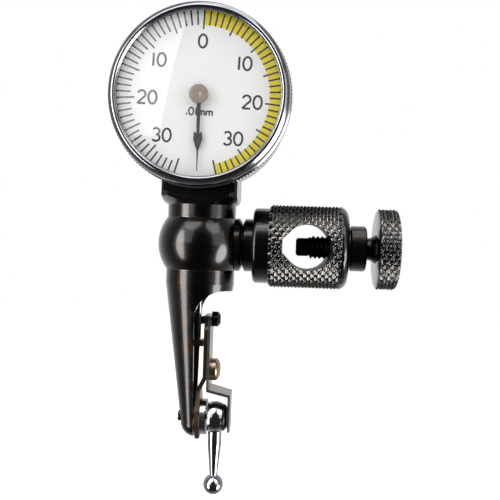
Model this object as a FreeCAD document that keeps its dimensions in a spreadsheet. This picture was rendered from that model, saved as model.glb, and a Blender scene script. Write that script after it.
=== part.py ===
import FreeCAD, Part
import Sketcher
import math
import os
import re

# Lever-type dial test indicator with a swivelling V-bore clamp.
# Frame: origin at the centre of the clamp bore, +X along the clamp arm towards the thumb
# screw, the clamp bore along Y, +Z up.  The dial faces -Y and the tapered body hangs down
# its own upright axis, which lies at X = -arm_reach.  Sizes are in millimetres.

SIZES = {
    # where the four main axes lie
    "arm_reach": 16.8,
    "dial_height": 21.9,
    "pivot_drop": 27.5,
    # clearances
    "running_gap": 0.03,
    "side_gap": 0.05,
    # clamp sleeve and its bore
    "sleeve_radius": 6.5,
    "sleeve_left": 6.0,
    "sleeve_right": 6.2,
    "sleeve_chamfer": 0.4,
    "sleeve_round": 1.5,
    "bore_radius": 3.6,
    "vee_depth": 3.98,
    # swivel joint between the clamp and the ring
    "stud_radius": 1.3,
    "nut_radius": 1.9,
    "nut_thickness": 0.7,
    "nut_sink": 0.17,
    "flange_radius": 5.9,
    "flange_width": 2.5,
    "flange_round": 0.6,
    "flange_spigot_radius": 2.6,
    "flange_spigot_length": 0.6,
    "neck_length": 1.6,
    "groove_chamfer": 0.3,
    "groove_depth": 0.55,
    "washer_thickness": 0.16,
    "washer_radius": 3.3,
    # collar and thumb screw
    "collar_radius": 3.55,
    "collar_offset": 0.55,
    "collar_length": 2.25,
    "collar_chamfer": 0.2,
    "collar_spigot_radius": 2.9,
    "collar_spigot_depth": 1.5,
    "thread_radius": 1.87,
    "dog_radius": 1.425,
    "dog_length": 1.89,
    "screw_tip": 1.83,
    "screw_neck_radius": 1.7,
    "screw_thread_length": 8.2,
    "screw_neck_length": 1.2,
    "screw_cone_length": 1.2,
    "screw_root_radius": 2.3,
    "knob_radius": 6.3,
    "knob_width": 3.2,
    "knob_round": 0.35,
    "knob_dome": 0.25,
    "knob_pin_radius": 1.2,
    "knob_pin_length": 2.7,
    # swivel ring
    "ball_radius": 6.75,
    "ring_half": 4.0,
    "boss_radius": 4.15,
    "boss_start": 5.5,
    "band_thickness": 0.27,
    "band_half": 3.5,
    "band_slot": 1.2,
    # head block
    "column_radius": 5.35,
    "waist_radius": 4.9,
    "spigot_radius": 4.6,
    "spigot_drop": 1.95,
    "block_bore": 3.9,
    "block_width": 11.6,
    "block_depth": 11.0,
    "block_corner": 1.1,
    "block_low": 6.0,
    "block_high": 13.0,
    "flare_reach": 3.4,
    "flare_rise": 2.2,
    "scoop_radius": 14.9,
    "scoop_depth": 0.75,
    # body tube
    "tube_radius": 5.38,
    "tube_straight": 2.15,
    "tube_wall": 0.6,
    "tube_end_radius": 2.4,
    "tube_end_height": 28.3,
    "cut_plane": 0.2,
    "lip_radius": 4.4,
    "lip_height": 11.6,
    # dial case
    "case_radius": 12.9,
    "case_front": 5.0,
    "case_back": 5.2,
    "case_edge": 0.4,
    "case_spigot_length": 1.5,
    "bezel_step": 0.35,
    "case_wall": 0.95,
    "shelf_width": 0.6,
    "shelf_thickness": 0.6,
    "stub_low": 7.7,
    "wire_thickness": 0.25,
    "wire_width": 0.3,
    "wire_setback": 0.5,
    "cover_thickness": 0.7,
    "cover_lap": 0.7,
    "cover_spigot": 0.5,
    "spanner_hole_radius": 0.6,
    "spanner_hole_circle": 7.5,
    "spanner_hole_count": 2,
    # bezel and crystal
    "bezel_radius": 13.7,
    "bezel_rim_width": 2.0,
    "bezel_back": 5.1,
    "bezel_front": 9.35,
    "bezel_opening": 12.0,
    "bezel_lip": 0.65,
    "bezel_groove": 0.28,
    "dial_seat_radius": 12.95,
    "bezel_bore_gap": 0.05,
    "crystal_thickness": 0.6,
    "crystal_rise": 0.95,
    "crystal_back": 8.05,
    "retainer_width": 0.23,
    # dial plate and hand
    "dial_front": 7.0,
    "dial_thickness": 0.4,
    "dial_hole": 0.9,
    "hand_length": 11.1,
    "hand_front": 7.75,
    "hand_thickness": 0.15,
    "hand_root_width": 0.64,
    "hand_tip_width": 0.14,
    "spade_top": 5.4,
    "spade_wide": 6.5,
    "spade_end": 8.2,
    "spade_width": 1.36,
    "hub_radius": 1.3,
    "hub_front": 8.5,
    "hub_height": 0.62,
    "hub_dimple": 0.3,
    # movement
    "plate_front": 6.1,
    "arbor_radius": 0.35,
    "arbor_body_radius": 0.45,
    "arbor_pivot_radius": 0.3,
    "bush_radius": 0.9,
    "bush_stand": 0.15,
    "pillar_radius": 0.9,
    "pillar_spacing": 7.0,
    "bridge_front": 4.0,
    "bridge_thickness": 0.55,
    "bridge_half_height": 1.6,
    "bridge_half_length": 8.0,
    "jewel_radius": 0.8,
    "spring_radius": 0.95,
    "spring_pitch": 0.6,
    "spring_width": 0.08,
    "spring_height": 0.18,
    "spring_back": 3.85,
    "collet_height": 0.32,
    "spring_stud_radius": 0.22,
    # centre pinion and crown wheel
    "module_radius": 0.64,
    "pinion_teeth": 12,
    "pinion_width": 0.5,
    "crown_teeth": 60,
    "crown_thickness": 0.45,
    "crown_slot": 0.22,
    "gear_addendum": 0.09,
    "gear_dedendum": 0.12,
    # upright spindle
    "spindle_radius": 0.4,
    "spindle_pivot_radius": 0.25,
    "spindle_foot": 15.9,
    "spindle_shoulder": 15.0,
    "upper_bush_radius": 1.2,
    "upper_bush_length": 1.7,
    "cock_top": 15.2,
    "cock_thickness": 1.0,
    "cock_half_width": 0.95,
    "cock_reach": 3.15,
    "cock_jewel_radius": 0.55,
    "rack_radius": 0.869,
    "rack_pinion_teeth": 14,
    "rack_height": 15.4,
    "rack_face": 1.0,
    "rack_addendum": 0.11,
    "rack_dedendum": 0.14,
    "rack_teeth": 7,
    # pivot at the foot of the body
    "pivot_radius": 0.45,
    "pivot_head_radius": 0.85,
    "pivot_head_height": 0.5,
    "pivot_head_seat": 2.35,
    "pivot_length": 5.6,
    "pivot_block_half_height": 1.1,
    # rocker
    "arm_face": 1.05,
    "arm_thickness": 0.7,
    "arm_top": 16.2,
    "arm_foot_face": 0.05,
    "arm_bend_low": 4.4,
    "arm_bend_high": 6.4,
    "arm_foot_length": 3.25,
    "arm_foot_radius": 2.6,
    "arm_half_width": 1.5,
    "sector_half_width": 2.1,
    "disc_radius": 2.8,
    "disc_thickness": 1.0,
    "disc_tooth_depth": 0.15,
    "disc_tooth_count": 36,
    "strap_thickness": 0.4,
    "strap_half_width": 2.4,
    "strap_foot_half_width": 1.9,
    "strap_step_high": 4.8,
    "strap_step_low": 4.0,
    "strap_foot_drop": 2.2,
    "strap_foot_back": 5.12,
    "strap_screw_height": 7.6,
    "strap_screw_radius": 1.75,
    "strap_screw_head": 1.5,
    "strap_screw_shank": 0.7,
    "strap_slot_width": 0.45,
    "strap_slot_depth": 0.7,
    "stop_screw_height": 15.6,
    "stop_screw_radius": 1.2,
    "stop_screw_head": 1.35,
    "stop_screw_shank": 0.45,
    "stop_screw_land": 0.2,
    # stylus
    "hub_face": 1.95,
    "hub_outer": 4.3,
    "hub_ball_radius": 2.5,
    "hub_ball_centre": 3.1,
    "friction_radius": 2.1,
    "friction_thickness": 0.72,
    "stem_top": 1.7,
    "stem_root_radius": 1.1,
    "stem_tip_radius": 0.62,
    "stylus_length": 10.75,
    "ball_tip_radius": 1.6,
    "stem_length": 7.95,
}

# Places that several pieces share, as formulas of the sizes.
CLAMP_FRAME = ("0", "0", "0")
BODY_FRAME = ("-arm_reach", "0", "0")
DIAL_FRAME = ("-arm_reach", "0", "dial_height")
PIVOT_FRAME = ("-arm_reach", "0", "-pivot_drop")

STUD_HOLE = "stud_radius + running_gap"
THREAD_HOLE = "thread_radius + running_gap"
FLANGE_LEFT = "-(sleeve_left + flange_width)"
JOINT_RIGHT = "-(sleeve_left + flange_width + neck_length)"
JOINT_LEFT = "-(sleeve_left + flange_width + neck_length + washer_thickness + 2 * running_gap)"
NUT_BACK = "-(vee_depth + nut_sink + nut_thickness)"
COLLAR_LEFT = "sleeve_right + collar_offset"
COLLAR_RIGHT = "sleeve_right + collar_offset + collar_length"
SHOULDER = "ring_half + side_gap"
RING_BORE = "waist_radius + running_gap + band_thickness"
SPIGOT_END = "ring_half + side_gap + spigot_drop"
CAVITY = "case_radius - bezel_step - case_wall"
CASE_SPIGOT = "case_radius - bezel_step"
ARM_BACK = "arm_face + arm_thickness"
STRAP_BACK = "arm_face + arm_thickness + strap_thickness"
FOOT_BACK = "arm_foot_face + arm_thickness"
DISC_BACK = "arm_foot_face + arm_thickness + disc_thickness"
CROWN_RADIUS = "module_radius * crown_teeth / pinion_teeth"
RACK_PITCH = "2 * pi * rack_radius / rack_pinion_teeth"
PIVOT_HOLE = "pivot_radius + running_gap"



def make_sheet(document):
    """Write every size in the sheet, one row each, with its name as alias."""
    table = document.addObject("Spreadsheet::Sheet", "Sizes")
    for row, (name, number) in enumerate(SIZES.items(), start=1):
        table.set(f"A{row}", name)
        table.set(f"B{row}", str(number))
        table.setAlias(f"B{row}", name)
    document.recompute()
    return table


doc = FreeCAD.newDocument("dial_test_indicator")
sheet = make_sheet(doc)
cuts = []
bodies = []


def bound(formula):
    """The formula with each size's name pointing at the sheet."""
    words = r"[a-z][a-z0-9_]*"
    return re.sub(words, lambda word: "Sizes." + word.group() if word.group() in SIZES else word.group(), formula)


def number(formula):
    """The formula's present value."""
    return float(sheet.evalExpression(bound(formula).replace("Sizes.", "")))


def new_body(name, place):
    """An empty body with its label, placed in one of the shared frames."""
    body = doc.addObject("PartDesign::Body", name)
    body.Label = name
    for axis, formula in zip("xyz", place):
        body.setExpression(f"Placement.Base.{axis}", bound(formula))
    bodies.append(body)
    return body


def datum(body, role):
    """The body's own origin plane or axis with the given role."""
    return [item for item in body.Origin.OriginFeatures if item.Role == role][0]


def pin_point(sketch, geometry, end, point):
    """Fix one point of the sketch at two formulas, measured from the sketch's origin."""
    for kind, formula in zip(("DistanceX", "DistanceY"), point):
        row = sketch.addConstraint(Sketcher.Constraint(kind, -1, 1, geometry, end, number(formula)))
        sketch.setExpression(f"Constraints[{row}]", bound(formula))


def pin_centre(sketch, geometry, step, chord):
    """Fix an arc's centre along the direction that its two ends leave free."""
    along_x = abs(chord.y) > abs(chord.x)
    kind, formula = ("DistanceX", step[2]) if along_x else ("DistanceY", step[3])
    row = sketch.addConstraint(Sketcher.Constraint(kind, -1, 1, geometry, 3, number(formula)))
    sketch.setExpression(f"Constraints[{row}]", bound(formula))


def add_line(sketch, first, last):
    return sketch.addGeometry(Part.LineSegment(first, last), False), 1, 2


def add_arc(sketch, first, last, step):
    """An arc about the step's centre; step[4] is +1 when it turns anticlockwise."""
    centre = FreeCAD.Vector(number(step[2]), number(step[3]), 0)
    circle = Part.Circle(centre, FreeCAD.Vector(0, 0, 1), (first - centre).Length)
    begin, end = (first, last) if step[4] > 0 else (last, first)
    angles = [math.atan2(point.y - centre.y, point.x - centre.x) for point in (begin, end)]
    geometry = sketch.addGeometry(Part.ArcOfCircle(circle, angles[0], angles[1]), False)
    return (geometry, 1, 2) if step[4] > 0 else (geometry, 2, 1)


def draw_loop(sketch, steps):
    """A closed outline: each step is (x, y) for a line to that point, or
    (x, y, centre x, centre y, turn) for an arc to it.  The first step closes the outline."""
    points = [FreeCAD.Vector(number(step[0]), number(step[1]), 0) for step in steps]
    sides = []
    for index, step in enumerate(steps):
        first, last = points[index - 1], points[index]
        side = add_arc(sketch, first, last, step) if len(step) == 5 else add_line(sketch, first, last)
        sides.append(side)
    for index, step in enumerate(steps):
        geometry, start, end = sides[index]
        after = sides[(index + 1) % len(sides)]
        sketch.addConstraint(Sketcher.Constraint("Coincident", geometry, end, after[0], after[1]))
        pin_point(sketch, geometry, end, step[:2])
        if len(step) == 5:
            pin_centre(sketch, geometry, step, points[index] - points[index - 1])


def draw_circle(sketch, x, y, radius):
    """A full circle with its centre and radius bound."""
    centre = FreeCAD.Vector(number(x), number(y), 0)
    geometry = sketch.addGeometry(Part.Circle(centre, FreeCAD.Vector(0, 0, 1), number(radius)), False)
    pin_point(sketch, geometry, 3, (x, y))
    row = sketch.addConstraint(Sketcher.Constraint("Radius", geometry, number(radius)))
    sketch.setExpression(f"Constraints[{row}]", bound(radius))


def new_sketch(body, plane, shapes, at="0"):
    """A sketch on one of the body's planes.  XY and YZ look along their normal; XZ has its
    normal along -Y, so its offset is turned round.  A shape of three texts is a circle."""
    sketch = body.newObject("Sketcher::SketchObject", "Sketch")
    sketch.AttachmentSupport = [(datum(body, plane + "_Plane"), "")]
    sketch.MapMode = "FlatFace"
    offset = f"-({at})" if plane == "XZ" else at
    sketch.setExpression("AttachmentOffset.Base.z", bound(offset))
    for shape in shapes:
        if isinstance(shape[0], str):
            draw_circle(sketch, *shape)
        else:
            draw_loop(sketch, shape)
    return sketch


def revolve(body, axis, steps, cut=False):
    """Turn an outline of (along the axis, radius) for X and Y, (radius, height) for Z."""
    plane = {"X": "XZ", "Y": "YZ", "Z": "XZ"}[axis]
    sketch = new_sketch(body, plane, [steps])
    turn = body.newObject("PartDesign::Groove" if cut else "PartDesign::Revolution", "Turn")
    turn.Profile = sketch
    turn.ReferenceAxis = (datum(body, axis + "_Axis"), [""])
    turn.Angle = 360
    if cut:
        cuts.append(turn)
    return turn


def pad(body, plane, shapes, length, at="0", both=False):
    """Add material from the coordinate `at` onwards along the plane's own axis."""
    feature = body.newObject("PartDesign::Pad", "Pad")
    sketch = new_sketch(body, plane, shapes, at)
    feature.Profile = sketch
    feature.Reversed = plane == "XZ"
    feature.SideType = "Symmetric" if both else "One side"
    feature.setExpression("Length", bound(length))
    body.Tip = feature
    return feature


def pocket(body, plane, shapes, length, at="0", both=False):
    """Remove material from the coordinate `at` onwards along the plane's own axis."""
    feature = body.newObject("PartDesign::Pocket", "Pocket")
    sketch = new_sketch(body, plane, shapes, at)
    feature.Profile = sketch
    feature.Reversed = plane != "XZ"
    feature.SideType = "Symmetric" if both else "One side"
    feature.setExpression("Length", bound(length))
    body.Tip = feature
    cuts.append(feature)
    return feature


def ring_pattern(body, feature, axis, count):
    """Repeat a feature evenly round one of the body's axes."""
    pattern = body.newObject("PartDesign::PolarPattern", "Round")
    pattern.Originals = [feature]
    pattern.Axis = (datum(body, axis + "_Axis"), [""])
    pattern.Angle = 360
    pattern.setExpression("Occurrences", bound(count))
    body.Tip = pattern
    return pattern


def row_pattern(body, feature, axis, length, count):
    """Repeat a feature evenly along one of the body's axes."""
    pattern = body.newObject("PartDesign::LinearPattern", "Row")
    pattern.Originals = [feature]
    pattern.Direction = (datum(body, axis + "_Axis"), [""])
    pattern.setExpression("Length", bound(length))
    pattern.setExpression("Occurrences", bound(count))
    body.Tip = pattern
    return pattern


def turned(name, place, axis, steps):
    """A body that is one turned piece."""
    body = new_body(name, place)
    revolve(body, axis, steps)
    return body


def tube_ring(name, place, axis, start, end, inner, outer):
    """A plain turned ring between two coordinates on its axis."""
    corners = [(start, inner), (start, outer), (end, outer), (end, inner)]
    if axis == "Z":
        corners = [(radius, along) for along, radius in corners]
    return turned(name, place, axis, corners)


# ---- clamp --------------------------------------------------------------------------

def clamp_sleeve():
    body = new_body("clamp_sleeve", CLAMP_FRAME)
    left, right = "-sleeve_left", "sleeve_right"
    revolve(body, "X", [
        (left, "0"),
        (left, "sleeve_radius - sleeve_chamfer"),
        ("-sleeve_left + sleeve_chamfer", "sleeve_radius"),
        ("sleeve_right - sleeve_round", "sleeve_radius"),
        (right, "sleeve_radius - sleeve_round", "sleeve_right - sleeve_round", "sleeve_radius - sleeve_round", -1),
        (right, "0"),
    ])
    tangent = "bore_radius * sqrt(2) / 2"
    flat_half = "bore_radius * sqrt(2) - vee_depth"
    bore = [
        ("-vee_depth", f"-({flat_half})"),
        ("-vee_depth", flat_half),
        (f"-({tangent})", tangent),
        (f"-({tangent})", f"-({tangent})", "0", "0", -1),
    ]
    pocket(body, "XZ", [bore], "4 * sleeve_radius", both=True)
    pocket(body, "YZ", [("0", "0", STUD_HOLE)], "sleeve_left - vee_depth + 0.5 * bore_radius", left)
    pocket(body, "YZ", [("0", "0", "nut_radius + side_gap")],
           "nut_sink + nut_thickness + side_gap + 0.5 * bore_radius", f"{NUT_BACK} - side_gap")
    pocket(body, "YZ", [("0", "0", "flange_spigot_radius")], "flange_spigot_length", left)
    pocket(body, "YZ", [("0", "0", THREAD_HOLE)], "sleeve_right", "0")
    pocket(body, "YZ", [("0", "0", "collar_spigot_radius")], "collar_spigot_depth",
           "sleeve_right - collar_spigot_depth")


def clamp_flange():
    turned("clamp_flange", CLAMP_FRAME, "X", [
        (JOINT_RIGHT, STUD_HOLE),
        (JOINT_RIGHT, "boss_radius - groove_depth"),
        (f"{JOINT_RIGHT} + groove_chamfer", "boss_radius"),
        (FLANGE_LEFT, "boss_radius"),
        (FLANGE_LEFT, "flange_radius - flange_round"),
        (f"{FLANGE_LEFT} + flange_round", "flange_radius",
         f"{FLANGE_LEFT} + flange_round", "flange_radius - flange_round", -1),
        ("-sleeve_left", "flange_radius"),
        ("-sleeve_left", "flange_spigot_radius"),
        ("-sleeve_left + flange_spigot_length", "flange_spigot_radius"),
        ("-sleeve_left + flange_spigot_length", STUD_HOLE),
    ])


def clamp_collar():
    inner = "sleeve_right - collar_spigot_depth"
    turned("clamp_collar", CLAMP_FRAME, "X", [
        (inner, THREAD_HOLE),
        (inner, "collar_spigot_radius"),
        ("sleeve_right + collar_offset / 2", "collar_spigot_radius"),
        (COLLAR_LEFT, "collar_radius"),
        (f"{COLLAR_RIGHT} - collar_chamfer", "collar_radius"),
        (COLLAR_RIGHT, "collar_radius - collar_chamfer"),
        (COLLAR_RIGHT, THREAD_HOLE),
    ])


# ---- thumb screw ----------------------------------------------------------------------

THREAD_START = "dog_length - screw_tip"
THREAD_END = "screw_thread_length"
CONE_START = "screw_thread_length + screw_neck_length"
KNOB_LEFT = "screw_thread_length + screw_neck_length + screw_cone_length"
KNOB_RIGHT = "screw_thread_length + screw_neck_length + screw_cone_length + knob_width"


def thumb_screw():
    edge = "thread_radius - dog_radius"
    turned("thumb_screw", CLAMP_FRAME, "X", [
        ("-screw_tip", "0"),
        ("-screw_tip", "dog_radius - knob_round / 3"),
        ("-screw_tip + knob_round / 3", "dog_radius"),
        (THREAD_START, "dog_radius"),
        (f"{THREAD_START} + {edge}", "thread_radius"),
        (f"{THREAD_END} - thread_radius + screw_neck_radius", "thread_radius"),
        (THREAD_END, "screw_neck_radius"),
        (CONE_START, "screw_neck_radius"),
        (KNOB_LEFT, "screw_root_radius"),
        (KNOB_LEFT, "knob_pin_radius"),
        (f"{KNOB_LEFT} + knob_pin_length", "knob_pin_radius"),
        (f"{KNOB_LEFT} + knob_pin_length", "0"),
    ])


def thumb_knob():
    high = "knob_radius - knob_round"
    turned("thumb_knob", CLAMP_FRAME, "X", [
        (KNOB_LEFT, "knob_pin_radius"),
        (KNOB_LEFT, high),
        (f"{KNOB_LEFT} + knob_round", "knob_radius", f"{KNOB_LEFT} + knob_round", high, -1),
        (f"{KNOB_RIGHT} - knob_round", "knob_radius"),
        (KNOB_RIGHT, high, f"{KNOB_RIGHT} - knob_round", high, -1),
        (f"{KNOB_RIGHT} + knob_dome", "0",
         f"{KNOB_RIGHT} + knob_dome / 2 - ({high}) * ({high}) / (2 * knob_dome)", "0", -1),
        (f"{KNOB_LEFT} + knob_pin_length", "0"),
        (f"{KNOB_LEFT} + knob_pin_length", "knob_pin_radius"),
    ])


# ---- swivel ---------------------------------------------------------------------------

def swivel_ring():
    body = new_body("swivel_ring", BODY_FRAME)
    land = "sqrt(ball_radius * ball_radius - ring_half * ring_half)"
    revolve(body, "Z", [
        (RING_BORE, "ring_half"),
        (RING_BORE, "-ring_half"),
        (land, "-ring_half"),
        (land, "ring_half", "0", "0", 1),
    ])
    joint = f"arm_reach + ({JOINT_LEFT})"
    far = "2 * ball_radius"
    revolve(body, "X", [(joint, "0"), (joint, far), (far, far), (far, "0")], cut=True)
    stud_end = "arm_reach - vee_depth - nut_sink"
    revolve(body, "X", [
        ("boss_start", "0"),
        ("boss_start", "boss_radius"),
        (f"{joint} - groove_chamfer", "boss_radius"),
        (joint, "boss_radius - groove_depth"),
        (joint, "stud_radius"),
        (stud_end, "stud_radius"),
        (stud_end, "0"),
    ])


def swivel_band():
    body = tube_ring("swivel_band", BODY_FRAME, "Z", "-band_half", "band_half",
                     "waist_radius + running_gap", RING_BORE)
    slot = [
        ("-2 * ball_radius", "-band_slot / 2"),
        ("0", "-band_slot / 2"),
        ("0", "band_slot / 2"),
        ("-2 * ball_radius", "band_slot / 2"),
    ]
    pocket(body, "XY", [slot], "4 * band_half", both=True)


def swivel_small_parts():
    tube_ring("swivel_washer", CLAMP_FRAME, "X", f"{JOINT_LEFT} + running_gap",
              f"{JOINT_RIGHT} - running_gap", STUD_HOLE, "washer_radius")
    body = tube_ring("swivel_nut", CLAMP_FRAME, "X", NUT_BACK, f"{NUT_BACK} + nut_thickness",
                     "stud_radius", "nut_radius")
    slot = [
        ("-2 * nut_radius", "-nut_thickness / 3"),
        ("2 * nut_radius", "-nut_thickness / 3"),
        ("2 * nut_radius", "nut_thickness / 3"),
        ("-2 * nut_radius", "nut_thickness / 3"),
    ]
    pocket(body, "YZ", [slot], "nut_thickness", f"{NUT_BACK} + nut_thickness / 2")


# ---- head block and body tube -----------------------------------------------------------

def head_block():
    body = new_body("head_block", BODY_FRAME)
    revolve(body, "Z", [
        ("block_bore", f"-({SPIGOT_END})"),
        ("spigot_radius", f"-({SPIGOT_END})"),
        ("spigot_radius", f"-({SHOULDER})"),
        ("waist_radius", f"-({SHOULDER})"),
        ("waist_radius", SHOULDER),
        ("column_radius", SHOULDER),
        ("column_radius", "block_low + flare_rise / 2"),
        ("block_bore", "block_low + flare_rise / 2"),
    ])
    x, y, c = "block_width / 2", "block_depth / 2", "block_corner"
    pad(body, "XY", [[
        (f"-{x}", f"-{y} + {c}"), (f"-{x} + {c}", f"-{y}"),
        (f"{x} - {c}", f"-{y}"), (x, f"-{y} + {c}"),
        (x, f"{y} - {c}"), (f"{x} - {c}", y),
        (f"-{x} + {c}", y), (f"-{x}", f"{y} - {c}"),
    ]], "block_high - block_low", "block_low")
    revolve(body, "Z", [
        ("column_radius", "block_low - flare_rise"),
        ("column_radius + 2 * flare_reach", "block_low - flare_rise"),
        ("column_radius + 2 * flare_reach", "block_low + 2 * flare_rise"),
        ("column_radius", "block_low"),
    ], cut=True)
    pocket(body, "XY", [("0", "0", "block_bore")], "2 * block_high", "block_low - flare_rise")
    pocket(body, "XZ", [("0", "dial_height", "case_radius + running_gap")], "2 * block_depth", both=True)
    pocket(body, "XZ", [("0", "dial_height", "scoop_radius")], "2 * scoop_depth",
           "scoop_depth - block_depth / 2 - 2 * scoop_depth")


def body_tube():
    body = new_body("body_tube", BODY_FRAME)
    wide_low = f"-({SHOULDER} + tube_straight)"
    foot = "-tube_end_height"
    inner_end = "tube_end_radius - tube_wall"
    revolve(body, "Z", [
        ("spigot_radius", f"-({SHOULDER})"),
        ("spigot_radius", f"-({SPIGOT_END} + 0.2)"),
        (inner_end, foot),
        ("0", "-tube_end_height - tube_end_radius + tube_wall", "0", foot, -1),
        ("0", "-tube_end_height - tube_end_radius"),
        ("tube_end_radius", foot, "0", foot, 1),
        ("tube_radius", wide_low),
        ("tube_radius", f"-({SHOULDER})"),
    ])
    low = "-tube_end_height - 2 * tube_end_radius"
    far = "2 * lip_radius - cut_plane"
    pocket(body, "XZ", [[
        ("-cut_plane", low),
        ("-cut_plane", "-lip_height"),
        (far, "-lip_height", "lip_radius - cut_plane", "-lip_height", -1),
        (far, low),
    ]], "4 * tube_radius", both=True)
    pocket(body, "YZ", [("0", "-pivot_drop", "pivot_radius")], "2 * tube_radius", "-2 * tube_radius")
    pocket(body, "YZ", [("0", "-pivot_drop", "pivot_head_radius")], "tube_radius",
           "-pivot_head_seat - tube_radius")


# ---- dial case --------------------------------------------------------------------------

def dial_case():
    body = new_body("dial_case", DIAL_FRAME)
    front = "-(case_front + case_spigot_length)"
    wire_front = "-(case_front + wire_setback + wire_width)"
    wire_back = "-(case_front + wire_setback)"
    groove = f"{CASE_SPIGOT} - wire_thickness"
    shelf = f"{CAVITY} - shelf_width"
    shelf_front = "-(plate_front - 0.8)"
    revolve(body, "Y", [
        (front, CAVITY),
        (front, CASE_SPIGOT),
        (wire_front, CASE_SPIGOT),
        (wire_front, groove),
        (wire_back, groove),
        (wire_back, CASE_SPIGOT),
        ("-case_front", CASE_SPIGOT),
        ("-case_front", "case_radius"),
        ("case_back - case_edge", "case_radius"),
        ("case_back", "case_radius - case_edge"),
        ("case_back", CAVITY),
        (f"{shelf_front} + shelf_thickness", CAVITY),
        (f"{shelf_front} + shelf_thickness", shelf),
        (shelf_front, shelf),
        (shelf_front, CAVITY),
    ])
    pad(body, "XY", [("0", "0", "block_bore - running_gap")],
        f"dial_height - stub_low - ({CAVITY}) - 0.3", "stub_low - dial_height")
    pocket(body, "XY", [("0", "0", "upper_bush_radius")], "dial_height - stub_low", "stub_low - dial_height")


def rear_cover():
    body = turned("rear_cover", DIAL_FRAME, "Y", [
        ("case_back - cover_spigot", "0"),
        ("case_back - cover_spigot", f"{CAVITY} - running_gap"),
        ("case_back", f"{CAVITY} - running_gap"),
        ("case_back", f"{CAVITY} + cover_lap"),
        ("case_back + cover_thickness - case_edge / 2", f"{CAVITY} + cover_lap"),
        ("case_back + cover_thickness", f"{CAVITY} + cover_lap - case_edge / 2"),
        ("case_back + cover_thickness", "0"),
    ])
    hole = pocket(body, "XZ", [("spanner_hole_circle", "0", "spanner_hole_radius")],
                  "cover_thickness", "case_back")
    ring_pattern(body, hole, "Y", "spanner_hole_count")


def bezel_wire():
    body = tube_ring("bezel_wire", DIAL_FRAME, "Y",
                     "-(case_front + wire_setback + wire_width) + running_gap",
                     "-(case_front + wire_setback) - running_gap",
                     f"{CASE_SPIGOT} - wire_thickness", f"{CASE_SPIGOT} + bezel_bore_gap - running_gap")
    slot = [
        ("-wire_width", "0"),
        ("wire_width", "0"),
        ("wire_width", "2 * case_radius"),
        ("-wire_width", "2 * case_radius"),
    ]
    pocket(body, "XZ", [slot], "4 * case_radius", both=True)


# ---- bezel ------------------------------------------------------------------------------

def bezel():
    rim_front = "-(bezel_back + bezel_rim_width)"
    bore = f"{CASE_SPIGOT} + bezel_bore_gap"
    dial_back = "-(dial_front - dial_thickness)"
    crystal_front = "-(crystal_back + crystal_thickness)"
    step = "bezel_radius - bezel_groove"
    curve = "(bezel_radius - bezel_groove - bezel_opening - bezel_lip)"
    turned("bezel", DIAL_FRAME, "Y", [
        ("-bezel_back", bore),
        (dial_back, bore),
        (dial_back, "dial_seat_radius"),
        (crystal_front, "dial_seat_radius"),
        (crystal_front, "bezel_opening"),
        (f"{crystal_front} - bezel_lip / 2", "bezel_opening"),
        ("-bezel_front", "bezel_opening + bezel_lip / 2"),
        ("-bezel_front", "bezel_opening + bezel_lip"),
        (f"-bezel_front + {curve}", step, f"-bezel_front + {curve}", "bezel_opening + bezel_lip", -1),
        (f"{rim_front} - bezel_groove * 2", f"{step}"),
        (f"{rim_front} - bezel_groove * 1.5", f"{step} - bezel_groove / 2"),
        (f"{rim_front} - bezel_groove / 2", f"{step} - bezel_groove / 2"),
        (rim_front, "bezel_radius - bezel_groove / 2"),
        (f"{rim_front} + bezel_groove / 2", "bezel_radius"),
        ("-bezel_back - bezel_groove / 2", "bezel_radius"),
        ("-bezel_back", "bezel_radius - bezel_groove / 2"),
    ])


def crystal():
    edge = "bezel_opening - side_gap"
    bend = f"({edge}) * ({edge}) / (2 * crystal_rise) - crystal_rise / 2"
    front = "-(crystal_back + crystal_thickness)"
    turned("crystal", DIAL_FRAME, "Y", [
        ("-crystal_back", edge, f"-crystal_back + {bend}", "0", -1),
        ("-crystal_back", "dial_seat_radius"),
        (front, "dial_seat_radius"),
        (front, edge),
        (f"{front} - crystal_rise", "0", f"{front} + {bend}", "0", 1),
        ("-crystal_back - crystal_rise", "0"),
    ])


def dial_parts():
    tube_ring("crystal_retainer", DIAL_FRAME, "Y", "-crystal_back", "-dial_front",
              "dial_seat_radius - retainer_width", "dial_seat_radius")
    tube_ring("dial_plate", DIAL_FRAME, "Y", "-dial_front", "-(dial_front - dial_thickness)",
              "dial_hole", "dial_seat_radius")


# ---- hand -------------------------------------------------------------------------------

def hand():
    body = new_body("hand", DIAL_FRAME)
    right = [
        ("hand_root_width / 2", "0"),
        ("hand_root_width / 3", "-spade_top - 0.25"),
        ("spade_width * 0.42", "-spade_top"),
        ("spade_width / 2", "-spade_wide"),
        ("hand_tip_width * 0.8", "-spade_end"),
        ("hand_tip_width / 2", "-hand_length"),
    ]
    left = [(f"-({x})", y) for x, y in reversed(right)]
    pad(body, "XZ", [right + left], "hand_thickness", "-hand_front")
    pad(body, "XZ", [("0", "0", "hub_radius * 0.8")], "hand_thickness", "-hand_front")
    pocket(body, "XZ", [("0", "0", "arbor_radius")], "2 * hand_thickness",
           "-hand_front - hand_thickness / 2")


def hand_hub():
    back = "-(hub_front - hub_height)"
    turned("hand_hub", DIAL_FRAME, "Y", [
        (back, "arbor_radius"),
        (back, "hub_radius"),
        ("-hub_front + 0.15", "hub_radius"),
        ("-hub_front", "hub_radius - 0.15", "-hub_front + 0.15", "hub_radius - 0.15", 1),
        ("-hub_front", "hub_dimple"),
        ("-hub_front + 0.15", "0"),
        ("-hub_front + 0.25", "0"),
        ("-hub_front + 0.25", "arbor_radius"),
    ])


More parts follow.
